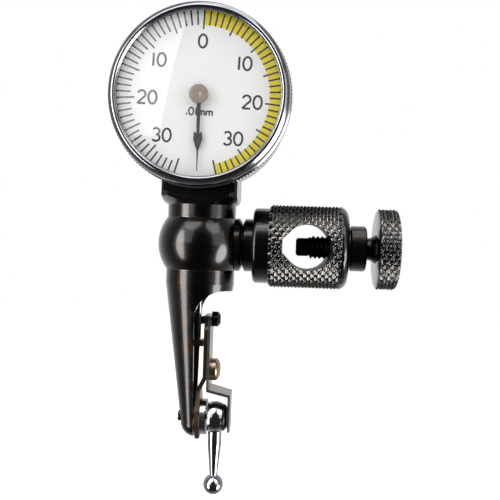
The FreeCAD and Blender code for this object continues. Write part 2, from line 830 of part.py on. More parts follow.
def centre_arbor():
    plate_back = "-(plate_front - 0.8) + bush_stand"
    turned("centre_arbor", DIAL_FRAME, "Y", [
        ("-hub_front + 0.25", "0"),
        ("-hub_front + 0.25", "arbor_radius"),
        (f"{plate_back} + side_gap", "arbor_radius"),
        (f"{plate_back} + side_gap", "arbor_body_radius"),
        ("bridge_front - side_gap", "arbor_body_radius"),
        ("bridge_front - side_gap", "arbor_pivot_radius"),
        ("bridge_front + bridge_thickness", "arbor_pivot_radius"),
        ("bridge_front + bridge_thickness", "0"),
    ])


def toothed(body, plane, radius, addendum, dedendum, count, width, at, base, tip, direction):
    """A gear blank with straight-flanked teeth; the first tooth points along `direction`."""
    root = f"({radius} - {dedendum})"
    crest = f"({radius} + {addendum})"
    inner = f"({root} * 0.9)"
    corners = [(f"-({base}) / 2", inner), (f"({base}) / 2", inner), (f"({tip}) / 2", crest), (f"-({tip}) / 2", crest)]
    if direction == "-v":
        corners = [(x, f"-({y})") for x, y in corners]
    if direction == "+u":
        corners = [(y, x) for x, y in corners]
    pad(body, plane, [("0", "0", root)], width, at)
    tooth = pad(body, plane, [corners], width, at)
    ring_pattern(body, tooth, {"XZ": "Y", "XY": "Z"}[plane], count)


def centre_pinion():
    body = new_body("centre_pinion", DIAL_FRAME)
    start = f"-({CROWN_RADIUS}) - pinion_width / 2"
    pitch = "2 * pi * module_radius / pinion_teeth"
    toothed(body, "XZ", "module_radius", "gear_addendum", "gear_dedendum", "pinion_teeth",
            "pinion_width", start, f"{pitch} * 0.5", f"{pitch} * 0.22", "-v")
    pocket(body, "XZ", [("0", "0", "arbor_body_radius")], "2 * pinion_width", f"{start} - pinion_width / 2")


def hairspring():
    body = new_body("hairspring", DIAL_FRAME)
    outer, inner = [], []
    turns = 8
    for index in range(turns):
        sign = "-" if index % 2 == 0 else ""
        shift = "0" if index % 2 == 0 else "spring_pitch / 2"
        radius = f"spring_radius + {index} * spring_pitch / 2"
        outer.append((f"{shift} + {sign}({radius} + spring_width / 2)", "0", shift, "0", 1))
        inner.append((f"{shift} + {sign}({radius} - spring_width / 2)", shift))
    first_inner = ("spring_radius - spring_width / 2", "0")
    first_outer = ("spring_radius + spring_width / 2", "0")
    back = [(inner[-1][0], "0")]
    for index in range(turns - 1, 0, -1):
        back.append((inner[index - 1][0], "0", inner[index][1], "0", -1))
    back.append((first_inner[0], "0", inner[0][1], "0", -1))
    pad(body, "XZ", [[first_outer] + outer + back], "spring_height", "spring_back - spring_height")


def movement():
    tube_ring("hairspring_collet", DIAL_FRAME, "Y", "spring_back - collet_height", "spring_back",
              "arbor_body_radius", "spring_radius - spring_width / 2 - side_gap")
    post = new_body("hairspring_stud", DIAL_FRAME)
    place = "spring_radius + 4 * spring_pitch + spring_width / 2 + spring_stud_radius"
    pad(post, "XZ", [(place, "0", "spring_stud_radius")], "bridge_front - spring_back + spring_height",
        "spring_back - spring_height")
    body = new_body("movement_plate", DIAL_FRAME)
    pad(body, "XZ", [("0", "0", f"{CAVITY} - side_gap"), ("0", "0", "bush_radius")], "0.8", "-plate_front")
    tube_ring("centre_bush", DIAL_FRAME, "Y", "-plate_front - bush_stand",
              "-(plate_front - 0.8) + bush_stand", "arbor_radius + running_gap", "bush_radius")
    for side, sign in (("left", "-"), ("right", "")):
        pillar = new_body(f"pillar_{side}", DIAL_FRAME)
        pad(pillar, "XZ", [(f"{sign}pillar_spacing", "0", "pillar_radius")],
            "plate_front - 0.8 + bridge_front", "-(plate_front - 0.8)")
    bridge = new_body("rear_bridge", DIAL_FRAME)
    x, z = "bridge_half_length", "bridge_half_height"
    outline = [(f"-{x}", f"-{z}"), (x, f"-{z}"), (x, z), (f"-{x}", z)]
    pad(bridge, "XZ", [outline, ("0", "0", "jewel_radius")], "bridge_thickness", "bridge_front")
    tube_ring("rear_jewel", DIAL_FRAME, "Y", "bridge_front", "bridge_front + bridge_thickness",
              "arbor_pivot_radius + running_gap", "jewel_radius")


# ---- upright spindle ----------------------------------------------------------------------

CROWN_PITCH_PLANE = "dial_height - module_radius"
CROWN_TOP = "dial_height - module_radius + gear_addendum"
CROWN_BACK = "dial_height - module_radius - gear_dedendum - crown_thickness"
RACK_BASE = "rack_height - pivot_drop"


def spindle():
    turned("spindle", BODY_FRAME, "Z", [
        ("0", "-spindle_foot"),
        ("spindle_pivot_radius", "-spindle_foot"),
        ("spindle_pivot_radius", "-spindle_shoulder"),
        ("spindle_radius", "-spindle_shoulder"),
        ("spindle_radius", CROWN_TOP),
        ("0", CROWN_TOP),
    ])


def spindle_pinion():
    body = new_body("spindle_pinion", BODY_FRAME)
    start = f"{RACK_BASE} - rack_face * 0.6"
    toothed(body, "XY", "rack_radius", "rack_addendum", "rack_dedendum", "rack_pinion_teeth",
            "rack_face * 1.2", start, f"{RACK_PITCH} * 0.44", f"{RACK_PITCH} * 0.18", "+u")
    pocket(body, "XY", [("0", "0", "spindle_radius")], "3 * rack_face", f"{start} - rack_face")


def crown_wheel():
    body = new_body("crown_wheel", BODY_FRAME)
    face = "pinion_width / 2 + side_gap"
    floor = "dial_height - module_radius - gear_dedendum"
    rim = f"{CROWN_RADIUS} + {face}"
    lip = f"{CROWN_RADIUS} - ({face})"
    revolve(body, "Z", [
        ("spindle_radius", CROWN_BACK),
        (rim, CROWN_BACK),
        (rim, CROWN_TOP),
        (lip, CROWN_TOP),
        (lip, floor),
        ("spindle_radius", floor),
    ])
    slot = [
        ("-crown_slot / 2", f"-({rim}) - 0.2"),
        ("crown_slot / 2", f"-({rim}) - 0.2"),
        ("crown_slot / 2", f"-({lip}) + 0.2"),
        ("-crown_slot / 2", f"-({lip}) + 0.2"),
    ]
    notch = pocket(body, "XY", [slot], "gear_addendum + gear_dedendum + 0.2", floor)
    ring_pattern(body, notch, "Z", "crown_teeth")


def spindle_bearings():
    tube_ring("upper_bush", BODY_FRAME, "Z", "stub_low", "stub_low + upper_bush_length",
              "spindle_radius + running_gap", "upper_bush_radius")
    cock = new_body("lower_cock", BODY_FRAME)
    y, nose = "cock_half_width", "cock_jewel_radius + 0.35"
    pad(cock, "XY", [[
        ("-cock_reach", f"-{y}"),
        (nose, f"-{y}"),
        (nose, y),
        ("-cock_reach", y),
    ], ("0", "0", "cock_jewel_radius")], "cock_thickness", "-cock_top - cock_thickness")
    tube_ring("lower_jewel", BODY_FRAME, "Z", "-cock_top - cock_thickness", "-cock_top",
              "spindle_pivot_radius + running_gap", "cock_jewel_radius")


# ---- pivot --------------------------------------------------------------------------------

def pivot_screw():
    body = turned("pivot_screw", PIVOT_FRAME, "X", [
        ("-pivot_head_seat - pivot_head_height", "0"),
        ("-pivot_head_seat - pivot_head_height", "pivot_head_radius - 0.15"),
        ("-pivot_head_seat - pivot_head_height + 0.15", "pivot_head_radius"),
        ("-pivot_head_seat", "pivot_head_radius"),
        ("-pivot_head_seat", "pivot_radius"),
        ("-pivot_head_seat + pivot_length", "pivot_radius"),
        ("-pivot_head_seat + pivot_length", "0"),
    ])
    slot = [
        ("-2 * pivot_head_radius", "-0.12"),
        ("2 * pivot_head_radius", "-0.12"),
        ("2 * pivot_head_radius", "0.12"),
        ("-2 * pivot_head_radius", "0.12"),
    ]
    pocket(body, "YZ", [slot], "0.45", "-pivot_head_seat - pivot_head_height - 0.2")


def pivot_block():
    body = new_body("pivot_block", PIVOT_FRAME)
    z = "pivot_block_half_height"
    pad(body, "XY", [("0", "0", "tube_end_radius - tube_wall - 2 * side_gap")], f"2 * {z}", f"-{z}")
    face = "-cut_plane - side_gap"
    pocket(body, "XZ", [[
        (face, f"-2 * {z}"),
        ("2 * tube_end_radius", f"-2 * {z}"),
        ("2 * tube_end_radius", f"2 * {z}"),
        (face, f"2 * {z}"),
    ]], "4 * tube_end_radius", both=True)
    pocket(body, "YZ", [("0", "0", "pivot_radius")], "2 * tube_end_radius", "-2 * tube_end_radius")


# ---- rocker ---------------------------------------------------------------------------------

def keep_outline(body, outline, span, depth, at):
    """Trim a bent strip to the outline seen along X."""
    frame = [(f"-{span}", f"-{span}"), (span, f"-{span}"), (span, span), (f"-{span}", span)]
    pocket(body, "YZ", [frame, outline], depth, at)


def rocker_arm():
    body = new_body("rocker_arm", PIVOT_FRAME)
    high_in, high_out = "arm_face", ARM_BACK
    low_in, low_out = "arm_foot_face", FOOT_BACK
    pad(body, "XZ", [[
        (low_in, "-arm_foot_length"),
        (low_out, "-arm_foot_length"),
        (low_out, "arm_bend_low"),
        (high_out, "arm_bend_high"),
        (high_out, "arm_top"),
        (high_in, "arm_top"),
        (high_in, "arm_bend_high + 0.1"),
        (low_in, "arm_bend_low + 0.1"),
    ]], "6 * arm_foot_radius", both=True)
    wide, slim, foot = "sector_half_width", "arm_half_width", "arm_foot_radius"
    outline = [
        (f"-{slim}", "arm_top - 2.2"),
        ("-1.15", "arm_top - 1.6"),
        ("-1.15", "arm_top"),
        (wide, "arm_top"),
        (wide, "arm_top - 1.6"),
        (slim, "arm_top - 2.4"),
        (slim, "arm_bend_low"),
        (foot, "arm_bend_low / 3"),
        (foot, "-arm_foot_length / 4"),
        (f"{foot} / 2", "-arm_foot_length"),
        (f"-{foot} / 2", "-arm_foot_length"),
        (f"-{foot}", "-arm_foot_length / 4"),
        (f"-{foot}", "arm_bend_low / 3"),
        (f"-{slim}", "arm_bend_low"),
    ]
    keep_outline(body, outline, "2 * arm_top", "2 * arm_face + 2 * arm_thickness", "-arm_face")
    for height, radius in (("0", PIVOT_HOLE), ("strap_screw_height", "strap_screw_shank")):
        pocket(body, "YZ", [("0", height, radius)], "2 * arm_face + 2 * arm_thickness", "-arm_face")
    pocket(body, "YZ", [("0", "stop_screw_height", "stop_screw_shank")], "arm_thickness",
           "arm_face + stop_screw_land")
    first = f"-1.5 * {RACK_PITCH}"
    tip_x, root_x = "rack_radius - rack_addendum", "arm_face + 0.1"
    base, tip = f"{RACK_PITCH} * 0.44", f"{RACK_PITCH} * 0.18"
    tooth = pad(body, "XY", [[
        (root_x, f"{first} - {base} / 2"),
        (root_x, f"{first} + {base} / 2"),
        (tip_x, f"{first} + {tip} / 2"),
        (tip_x, f"{first} - {tip} / 2"),
    ]], "rack_face", "rack_height - rack_face / 2")
    row_pattern(body, tooth, "Y", f"{RACK_PITCH} * (rack_teeth - 1)", "rack_teeth")


def serrated_disc():
    body = new_body("serrated_disc", PIVOT_FRAME)
    revolve(body, "X", [
        (FOOT_BACK, PIVOT_HOLE),
        (FOOT_BACK, "disc_radius - 0.1"),
        (f"{FOOT_BACK} + 0.1", "disc_radius"),
        (DISC_BACK, "disc_radius"),
        (DISC_BACK, PIVOT_HOLE),
    ])
    pitch = "2 * pi * disc_radius / disc_tooth_count"
    groove = pocket(body, "YZ", [[
        ("-0.01", "disc_radius * 0.5"),
        ("0.01", "disc_radius * 0.5"),
        (f"{pitch} / 4", "disc_radius + 0.3"),
        (f"-{pitch} / 4", "disc_radius + 0.3"),
    ]], "2 * disc_tooth_depth", f"{DISC_BACK} - disc_tooth_depth")
    ring_pattern(body, groove, "X", "disc_tooth_count")


def friction_strap():
    body = new_body("friction_strap", PIVOT_FRAME)
    inner, outer = ARM_BACK, STRAP_BACK
    foot_in, foot_out = "strap_foot_back", "strap_foot_back + strap_thickness"
    pad(body, "XZ", [[
        (inner, "arm_top"),
        (inner, "strap_step_high - strap_thickness"),
        (foot_in, "strap_step_low - strap_thickness"),
        (foot_in, "-strap_foot_drop"),
        (foot_out, "-strap_foot_drop"),
        (foot_out, "strap_step_low"),
        (outer, "strap_step_high"),
        (outer, "arm_top"),
    ]], "6 * strap_half_width", both=True)
    wide, slim = "strap_half_width", "strap_foot_half_width"
    outline = [
        (f"-{wide} + 0.6", "arm_top"),
        (f"{wide} - 0.6", "arm_top"),
        (wide, "arm_top - 0.6"),
        (wide, "strap_step_high"),
        (slim, "strap_step_low - 1"),
        (slim, "-strap_foot_drop + 1"),
        (f"{slim} - 1", "-strap_foot_drop"),
        (f"-{slim} + 1", "-strap_foot_drop"),
        (f"-{slim}", "-strap_foot_drop + 1"),
        (f"-{slim}", "strap_step_low - 1"),
        (f"-{wide}", "strap_step_high"),
        (f"-{wide}", "arm_top - 0.6"),
    ]
    keep_outline(body, outline, "2 * arm_top", "2 * strap_foot_back", "0")
    for height, radius in (("strap_screw_height", "strap_screw_shank"), ("stop_screw_height", "stop_screw_shank")):
        pocket(body, "YZ", [("0", height, radius)], "2 * arm_face", ARM_BACK + " - arm_face")


def strap_screw():
    body = new_body("strap_screw", ("-arm_reach", "0", "strap_screw_height - pivot_drop"))
    head = "strap_screw_head"
    radius = "strap_screw_radius"
    revolve(body, "X", [
        ("arm_face + running_gap", "0"),
        ("arm_face + running_gap", "strap_screw_shank"),
        (STRAP_BACK, "strap_screw_shank"),
        (STRAP_BACK, radius),
        (f"{STRAP_BACK} + {head} * 0.6", radius),
        (f"{STRAP_BACK} + {head}", f"{radius} * 0.45",
         f"{STRAP_BACK} + {head} * 0.6 - {radius} * 0.5", "0", -1),
        (f"{STRAP_BACK} + {head}", "0"),
    ])
    width = "strap_slot_width / 2"
    slot = [(f"-{width}", "-2 * strap_screw_radius"), (width, "-2 * strap_screw_radius"),
            (width, "2 * strap_screw_radius"), (f"-{width}", "2 * strap_screw_radius")]
    pocket(body, "YZ", [slot], "2 * strap_slot_depth", f"{STRAP_BACK} + {head} - strap_slot_depth")


def stop_screw():
    turned("stop_screw", ("-arm_reach", "0", "stop_screw_height - pivot_drop"), "X", [
        ("arm_face + stop_screw_land", "0"),
        ("arm_face + stop_screw_land", "stop_screw_shank"),
        (STRAP_BACK, "stop_screw_shank"),
        (STRAP_BACK, "stop_screw_radius"),
        (f"{STRAP_BACK} + stop_screw_head * 0.7", "stop_screw_radius"),
        (f"{STRAP_BACK} + stop_screw_head", "stop_screw_radius * 0.6"),
        (f"{STRAP_BACK} + stop_screw_head", "0"),
    ])


# ---- stylus -----------------------------------------------------------------------------------

def hub_radius_at(along):
    """Radius of the hub's ball at a coordinate on the pivot axis."""
    offset = f"(hub_ball_centre - {along})"
    return f"sqrt(hub_ball_radius * hub_ball_radius - {offset} * {offset})"


def stylus_hub():
    body = new_body("stylus_hub", PIVOT_FRAME)
    pivot_end = "-pivot_head_seat + pivot_length + side_gap"
    revolve(body, "X", [
        ("hub_face", PIVOT_HOLE),
        ("hub_face", hub_radius_at("hub_face")),
        ("hub_outer", hub_radius_at("hub_outer"), "hub_ball_centre", "0", -1),
        ("hub_outer", "0"),
        (pivot_end, "0"),
        (pivot_end, PIVOT_HOLE),
    ])
    pocket(body, "XY", [("hub_ball_centre", "0", "stem_root_radius")], "hub_ball_radius",
           "-stem_top - hub_ball_radius")


def stylus_stem():
    turned("stylus_stem", ("hub_ball_centre - arm_reach", "0", "-pivot_drop"), "Z", [
        ("0", "-stem_top"),
        ("0", "-stem_top - stem_length"),
        ("stem_tip_radius", "-stem_top - stem_length"),
        ("stem_tip_radius", "-stylus_length + ball_tip_radius"),
        ("stem_root_radius", "-stem_top - hub_ball_radius"),
        ("stem_root_radius", "-stem_top"),
    ])


def contact_ball():
    body = turned("contact_ball", ("hub_ball_centre - arm_reach", "0", "-pivot_drop - stylus_length"), "Z", [
        ("0", "-ball_tip_radius"),
        ("0", "ball_tip_radius", "0", "0", 1),
    ])
    pocket(body, "XY", [("0", "0", "stem_tip_radius")], "ball_tip_radius * 2",
           "stylus_length - stem_top - stem_length")


def friction_washer():
    rise = "friction_thickness"
    turned("friction_washer", PIVOT_FRAME, "X", [
        ("hub_outer", "0"),
        ("hub_outer", "friction_radius"),
        (f"hub_outer + {rise} * 0.35", "friction_radius"),
        (f"hub_outer + {rise}", "friction_radius * 0.5",
         f"hub_outer + {rise} * 0.35 - friction_radius * 0.3", "0", -1),
        (f"hub_outer + {rise}", "0"),
    ])


def build_all():
    clamp_sleeve()
    clamp_flange()
    clamp_collar()
    thumb_screw()
    thumb_knob()
    swivel_ring()
    swivel_band()
    swivel_small_parts()
    head_block()
    body_tube()
    dial_case()
    rear_cover()
    bezel_wire()
    bezel()
    crystal()
    dial_parts()
    hand()
    hand_hub()
    centre_arbor()
    centre_pinion()
    hairspring()
    movement()
    spindle()
    spindle_pinion()
    crown_wheel()
    spindle_bearings()
    pivot_screw()
    pivot_block()
    rocker_arm()
    serrated_disc()
    friction_strap()
    strap_screw()
    stop_screw()
    stylus_hub()
    stylus_stem()
    contact_ball()
    friction_washer()
    doc.recompute()


def check_all():
    """Stop before anything is written if a feature failed, a cut removed nothing or a
    piece is not one valid closed solid."""
    faults = [f"{item.Label} failed" for item in doc.Objects if {"Invalid", "Error"} & set(item.State)]
    for cut in cuts:
        if not cut.Shape.Volume < cut.BaseFeature.Shape.Volume - 1e-7:
            faults.append(f"{cut.Name} removed nothing in {cut.getParentGeoFeatureGroup().Label}")
    for body in bodies:
        shape = body.Shape
        if shape.isNull() or not shape.isValid() or len(shape.Solids) != 1:
            faults.append(f"{body.Label} is not one valid solid")
    if faults:
        raise RuntimeError("; ".join(faults))


def write_all():
    os.makedirs("parts", exist_ok=True)
    for body in bodies:
        body.Shape.exportStep(f"parts/{body.Label}.step")


build_all()
check_all()
write_all()
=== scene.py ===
"""A lever dial test indicator in a swivelling clamp: surfaces, finishes, light and camera."""
import logging
from dataclasses import dataclass, field
from enum import Enum

import bmesh
import bpy
import numpy as np
from mathutils import Matrix, Vector


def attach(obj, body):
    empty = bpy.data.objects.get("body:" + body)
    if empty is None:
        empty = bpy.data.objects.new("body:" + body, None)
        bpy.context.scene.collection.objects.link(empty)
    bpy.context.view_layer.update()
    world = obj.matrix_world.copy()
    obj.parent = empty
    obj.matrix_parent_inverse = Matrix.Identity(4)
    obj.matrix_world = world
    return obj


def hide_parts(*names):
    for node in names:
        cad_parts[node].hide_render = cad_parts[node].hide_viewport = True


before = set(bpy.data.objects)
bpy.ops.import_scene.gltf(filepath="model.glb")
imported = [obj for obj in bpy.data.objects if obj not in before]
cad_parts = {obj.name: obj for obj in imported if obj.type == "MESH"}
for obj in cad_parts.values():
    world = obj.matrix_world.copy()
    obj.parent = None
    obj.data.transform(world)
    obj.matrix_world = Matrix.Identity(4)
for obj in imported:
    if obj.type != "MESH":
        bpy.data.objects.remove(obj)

LOG = logging.getLogger("indicator")
MM = 0.001
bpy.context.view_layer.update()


class Part(Enum):
    """The rigid bodies that a piece can ride on."""

    CLAMP = "clamp"
    SCREW = "screw"
    SWIVEL = "swivel"
    INDICATOR = "indicator"
    BEZEL = "bezel"
    HAND = "hand"
    SPINDLE = "spindle"
    ROCKER = "rocker"
    STYLUS = "stylus"


class Axis(Enum):
    """The line that a turned piece is turned about: its order of (along, across, up)."""

    X = (0, 1, 2)
    Y = (1, 2, 0)
    Z = (2, 0, 1)


# ---- geometry ---------------------------------------------------------------------------


@dataclass
class Surface:
    """Points in millimetres and faces that index them, ready to become a mesh."""

    points: np.ndarray
    faces: list[tuple[int, ...]]

    def joined(self, other: "Surface") -> "Surface":
        """Both surfaces as one, the second's face numbers moved past the first's points."""
        shift = len(self.points)
        moved = [tuple(int(i) + shift for i in face) for face in other.faces]
        return Surface(np.vstack([self.points, other.points]), list(self.faces) + moved)


def quad_faces(rows: int, columns: int, wrap_rows: bool,
               wrap_columns: bool) -> list[tuple[int, ...]]:
    """The four-cornered faces of a grid of points.

    Each face joins point (i, j) to its neighbours at i + 1 and j + 1, both taken round the end
    where that direction wraps.

    Args:
        rows: how many points the grid has in its first direction.
        columns: how many points it has in its second direction.
        wrap_rows: whether the last row joins the first.
        wrap_columns: whether the last column joins the first.

    Returns:
        The faces as tuples of point numbers.
    """
    i, j = np.meshgrid(np.arange(rows if wrap_rows else rows - 1),
                       np.arange(columns if wrap_columns else columns - 1), indexing="ij")
    near, far = i * columns, ((i + 1) % rows) * columns
    beside = (j + 1) % columns
    corners = np.stack([near + j, near + beside, far + beside, far + j], axis=-1)
    return [tuple(face) for face in corners.reshape(-1, 4).tolist()]


def eased(profile: list[tuple[float, float]], reach: list[float], closed: bool,
          steps: int = 4) -> np.ndarray:
    """A profile whose corners are rounded by a curve of the second order.

    Each corner P gives way to the points (1-t)^2 S + 2t(1-t) P + t^2 E, where S and E lie at
    the corner's reach along its two sides.

    Args:
        profile: the corners, as (along, radius) in millimetres.
        reach: how far each corner's rounding goes along its sides.
        closed: whether the last corner joins the first.
        steps: how many spans each rounding has.

    Returns:
        The points of the rounded profile, without any that repeat.
    """
    corner = np.asarray(profile, dtype=float)
    size = np.asarray(reach, dtype=float)[:, None]
    before, after = np.roll(corner, 1, axis=0) - corner, np.roll(corner, -1, axis=0) - corner
    if not closed:
        size[0], size[-1] = 0.0, 0.0
    start = corner + before * size / np.maximum(np.linalg.norm(before, axis=1), 1e-9)[:, None]
    end = corner + after * size / np.maximum(np.linalg.norm(after, axis=1), 1e-9)[:, None]
    t = np.linspace(0.0, 1.0, steps + 1)[None, :, None]
    curve = ((1 - t) ** 2 * start[:, None] + 2 * t * (1 - t) * corner[:, None]
             + t ** 2 * end[:, None])
    points = curve.reshape(-1, 2)
    kept = np.linalg.norm(points - np.roll(points, 1, axis=0), axis=1) > 1e-6
    kept[0] = kept[0] or not closed
    return points[kept]


def lathe(profile: np.ndarray, axis: Axis, centre: tuple[float, float, float], segments: int,
          closed: bool = False, ripple: "np.ndarray | None" = None) -> Surface:
    """A profile turned about an axis.

    The point (a, r) of the profile at the angle u lies at a along the axis and at r cos u,
    r sin u across it. A ripple adds to r, one value for each profile point and angle.

    Args:
        profile: the profile's points as (along, radius) in millimetres.
        axis: the axis it is turned about.
        centre: where the axis crosses the profile's zero.
        segments: how many steps one turn has.
        closed: whether the profile's last point joins its first.
        ripple: what to add to the radius, shaped (profile points, segments).

    Returns:
        The turned surface.
    """
    angle = np.arange(segments) * 2 * np.pi / segments
    radius = np.repeat(profile[:, 1:2], segments, axis=1)
    if ripple is not None:
        radius = radius + ripple
    points = np.zeros((len(profile), segments, 3))
    along, across, up = axis.value
    points[..., along] = profile[:, 0:1]
    points[..., across] = radius * np.cos(angle)
    points[..., up] = radius * np.sin(angle)
    points = points.reshape(-1, 3) + np.asarray(centre)
    return Surface(points, quad_faces(len(profile), segments, closed, True))


def ribbon(path: np.ndarray, width: "float | np.ndarray", front: float, back: float,
           closed: bool = False) -> Surface:
    """A flat bar of a given width that follows a line drawn in the X, Z plane.

    At each point the bar's two edges lie at half the width along the line's normal, which is
    its direction turned by a right angle, and its section is a rectangle from front to back.

    Args:
        path: the line's points as (x, z) in millimetres.
        width: the bar's width, one value or one for each point.
        front: the Y of its front face.
        back: the Y of its back face.
        closed: whether the line joins up.

    Returns:
        The bar as a closed surface.
    """
    step = np.gradient(path, axis=0)
    if closed:
        step = np.roll(path, -1, axis=0) - np.roll(path, 1, axis=0)
    normal = np.stack([-step[:, 1], step[:, 0]], axis=1)
    normal /= np.linalg.norm(normal, axis=1)[:, None]
    half = np.broadcast_to(np.asarray(width) / 2, (len(path),))[:, None]
    left, right = path + normal * half, path - normal * half
    ring = np.stack([np.insert(left, 1, front, axis=1), np.insert(right, 1, front, axis=1),
                     np.insert(right, 1, back, axis=1), np.insert(left, 1, back, axis=1)], axis=1)
    faces = quad_faces(len(path), 4, closed, True)
    if not closed:
        last = 4 * (len(path) - 1)
        faces += [(3, 2, 1, 0), (last, last + 1, last + 2, last + 3)]
    return Surface(ring.reshape(-1, 3), faces)


def make_piece(name: str, surface: Surface, part: Part, material: bpy.types.Material,
               sharp: float = 32.0, nodes: tuple[str, ...] = ()) -> bpy.types.Object:
    """Puts a surface into a mesh object, dresses it and makes it ride on its body.

    Args:
        name: the piece's name.
        surface: its points and faces, in millimetres.
        part: the body it rides on.
        material: its finish.
        sharp: edges that turn by more than this many degrees stay sharp.
        nodes: the frame's nodes that it stands for.

    Returns:
        The new object.
    """
    mesh = bpy.data.meshes.new(name)
    mesh.from_pydata(surface.points * MM, [], surface.faces)
    mesh.validate()
    shape = bpy.data.objects.new(name, mesh)
    bpy.context.scene.collection.objects.link(shape)
    tidy_mesh(mesh, sharp)
    mesh.materials.append(material)
    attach(shape, part.value)
    if nodes:
        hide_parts(*nodes)
    LOG.info("%s: %d faces on %s", name, len(mesh.polygons), part.value)
    return shape


def tidy_mesh(mesh: bpy.types.Mesh, sharp: float) -> None:
    """Merges points that meet, turns the faces outwards and smooths all but the sharp edges.

    Args:
        mesh: the mesh to tidy.
        sharp: the angle in degrees past which an edge stays sharp.
    """
    work = bmesh.new()
    work.from_mesh(mesh)
    bmesh.ops.remove_doubles(work, verts=work.verts, dist=1e-7)
    bmesh.ops.recalc_face_normals(work, faces=work.faces)
    if work.calc_volume(signed=True) < 0:
        bmesh.ops.reverse_faces(work, faces=work.faces)
    work.to_mesh(mesh)
    work.free()
    mesh.polygons.foreach_set("use_smooth", np.ones(len(mesh.polygons), dtype=bool))
    mesh.set_sharp_from_angle(angle=np.radians(sharp))


# ---- materials --------------------------------------------------------------------------


def srgb(code: str) -> tuple[float, float, float, float]:
    """A colour written as six sRGB hex figures, turned to linear light.

    Args:
        code: the colour, such as "#c0c0c0".

    Returns:
        Linear red, green and blue, and an alpha of one.
    """
    value = np.array([int(code[i:i + 2], 16) for i in (1, 3, 5)]) / 255
    linear = np.where(value <= 0.04045, value / 12.92, ((value + 0.055) / 1.055) ** 2.4)
    return (*linear.tolist(), 1.0)


def add(tree: bpy.types.NodeTree, kind: str, settings: dict, links: dict) -> bpy.types.Node:
    """Adds one node to a tree.

    Args:
        tree: the node tree.
        kind: the node's type name.
        settings: attributes by name, and input values by the input's name or number.
        links: for an input's name or number, the output socket that feeds it.

    Returns:
        The new node.
    """
    node = tree.nodes.new(kind)
    for key, value in settings.items():
        if isinstance(key, str) and key.islower():
            setattr(node, key, value)
        else:
            node.inputs[key].default_value = value
    for key, socket in links.items():
        tree.links.new(socket, node.inputs[key])
    return node


@dataclass(frozen=True)
class Finish:
    """How a surface looks: its colours, its gloss and the marks that its making left.

    Lengths are in millimetres. The patch colour comes and goes over patch_size, the grain is
    a fine roughness of the surface over grain_size, and brushed stretches it along an axis.
    """

    name: str
    colour: str
    patch: str
    metallic: float
    roughness: float
    rough_spread: float = 0.08
    patch_size: float = 3.0
    patch_share: float = 0.35
    grain_size: float = 0.12
    grain_height: float = 0.004
    brushed: tuple[float, float, float] = (1.0, 1.0, 1.0)
    coat: float = 0.0
    # The lighter edge colour and its width: partly rubbed metal, partly a painted highlight.
    wear_and_highlight: str = ""
    wear_and_highlight_width: float = 0.12

    def material(self) -> bpy.types.Material:
        """Builds the finish as a node material.

        Returns:
            The material.
        """
        made = bpy.data.materials.new(self.name)
        made.use_nodes = True
        tree = made.node_tree
        tree.nodes.clear()
        place = add(tree, "ShaderNodeTexCoord", {}, {}).outputs["Object"]
        patches = add(tree, "ShaderNodeTexNoise",
                      {"Scale": 1 / (self.patch_size * MM), "Detail": 3.0, "Roughness": 0.55},
                      {"Vector": place}).outputs["Fac"]
        stretched = add(tree, "ShaderNodeMapping", {"Scale": self.brushed},
                        {"Vector": place}).outputs["Vector"]
        grain = add(tree, "ShaderNodeTexNoise",
                    {"Scale": 1 / (self.grain_size * MM), "Detail": 2.0, "Roughness": 0.5},
                    {"Vector": stretched}).outputs["Fac"]
        share = add(tree, "ShaderNodeMapRange",
                    {"From Min": 0.65 - self.patch_share / 2, "From Max": 0.75}, {"Value": patches})
        colour = add(tree, "ShaderNodeMix",
                     {"data_type": "RGBA", 6: srgb(self.colour), 7: srgb(self.patch)},
                     {0: share.outputs["Result"]}).outputs[2]
        if self.wear_and_highlight:
            # Lighter edges: partly wear, partly a painted highlight.
            colour = self.edge_wear_and_highlight(tree, colour, patches)
        rough = add(tree, "ShaderNodeMapRange",
                    {"To Min": max(self.roughness - self.rough_spread, 0.02),
                     "To Max": self.roughness + self.rough_spread}, {"Value": grain})
        bump = add(tree, "ShaderNodeBump", {"Strength": 1.0, "Distance": self.grain_height * MM},
                   {"Height": grain})
        shader = add(tree, "ShaderNodeBsdfPrincipled",
                     {"Metallic": self.metallic, "Coat Weight": self.coat},
                     {"Base Color": colour, "Roughness": rough.outputs["Result"],
                      "Normal": bump.outputs["Normal"]})
        add(tree, "ShaderNodeOutputMaterial", {}, {"Surface": shader.outputs["BSDF"]})
        return made

    def edge_wear_and_highlight(self, tree: bpy.types.NodeTree, colour: bpy.types.NodeSocket,
                  patches: bpy.types.NodeSocket) -> bpy.types.NodeSocket:
        """Paints the edges lighter: partly the finish rubbed to its base metal, partly a painted
        highlight along the edges.

        The angle between the true normal and one rounded over wear_and_highlight_width grows at an
        edge.

        Args:
            tree: the material's nodes.
            colour: the finish's colour so far.
            patches: the noise that breaks the lighter edges up.

        Returns:
            The colour with the lighter edges, partly wear and partly painted highlight, in it.
        """
        rounded = add(tree, "ShaderNodeBevel", {"samples": 4, "Radius": self.wear_and_highlight_width * MM}, {})
        true = add(tree, "ShaderNodeNewGeometry", {}, {})
        dot = add(tree, "ShaderNodeVectorMath", {"operation": "DOT_PRODUCT"},
                  {0: rounded.outputs["Normal"], 1: true.outputs["Normal"]})
        edge = add(tree, "ShaderNodeMapRange",
                   {"From Min": 0.995, "From Max": 0.85, "To Min": 0.0, "To Max": 1.0},
                   {"Value": dot.outputs["Value"]})
        ragged = add(tree, "ShaderNodeMapRange", {"From Min": 0.3, "From Max": 0.6, "To Min": 0.35},
                     {"Value": patches})
        broken = add(tree, "ShaderNodeMath", {"operation": "MULTIPLY"},
                     {0: edge.outputs["Result"], 1: ragged.outputs["Result"]})
        return add(tree, "ShaderNodeMix", {"data_type": "RGBA", 7: srgb(self.wear_and_highlight)},
                   {0: broken.outputs["Value"], 6: colour}).outputs[2]


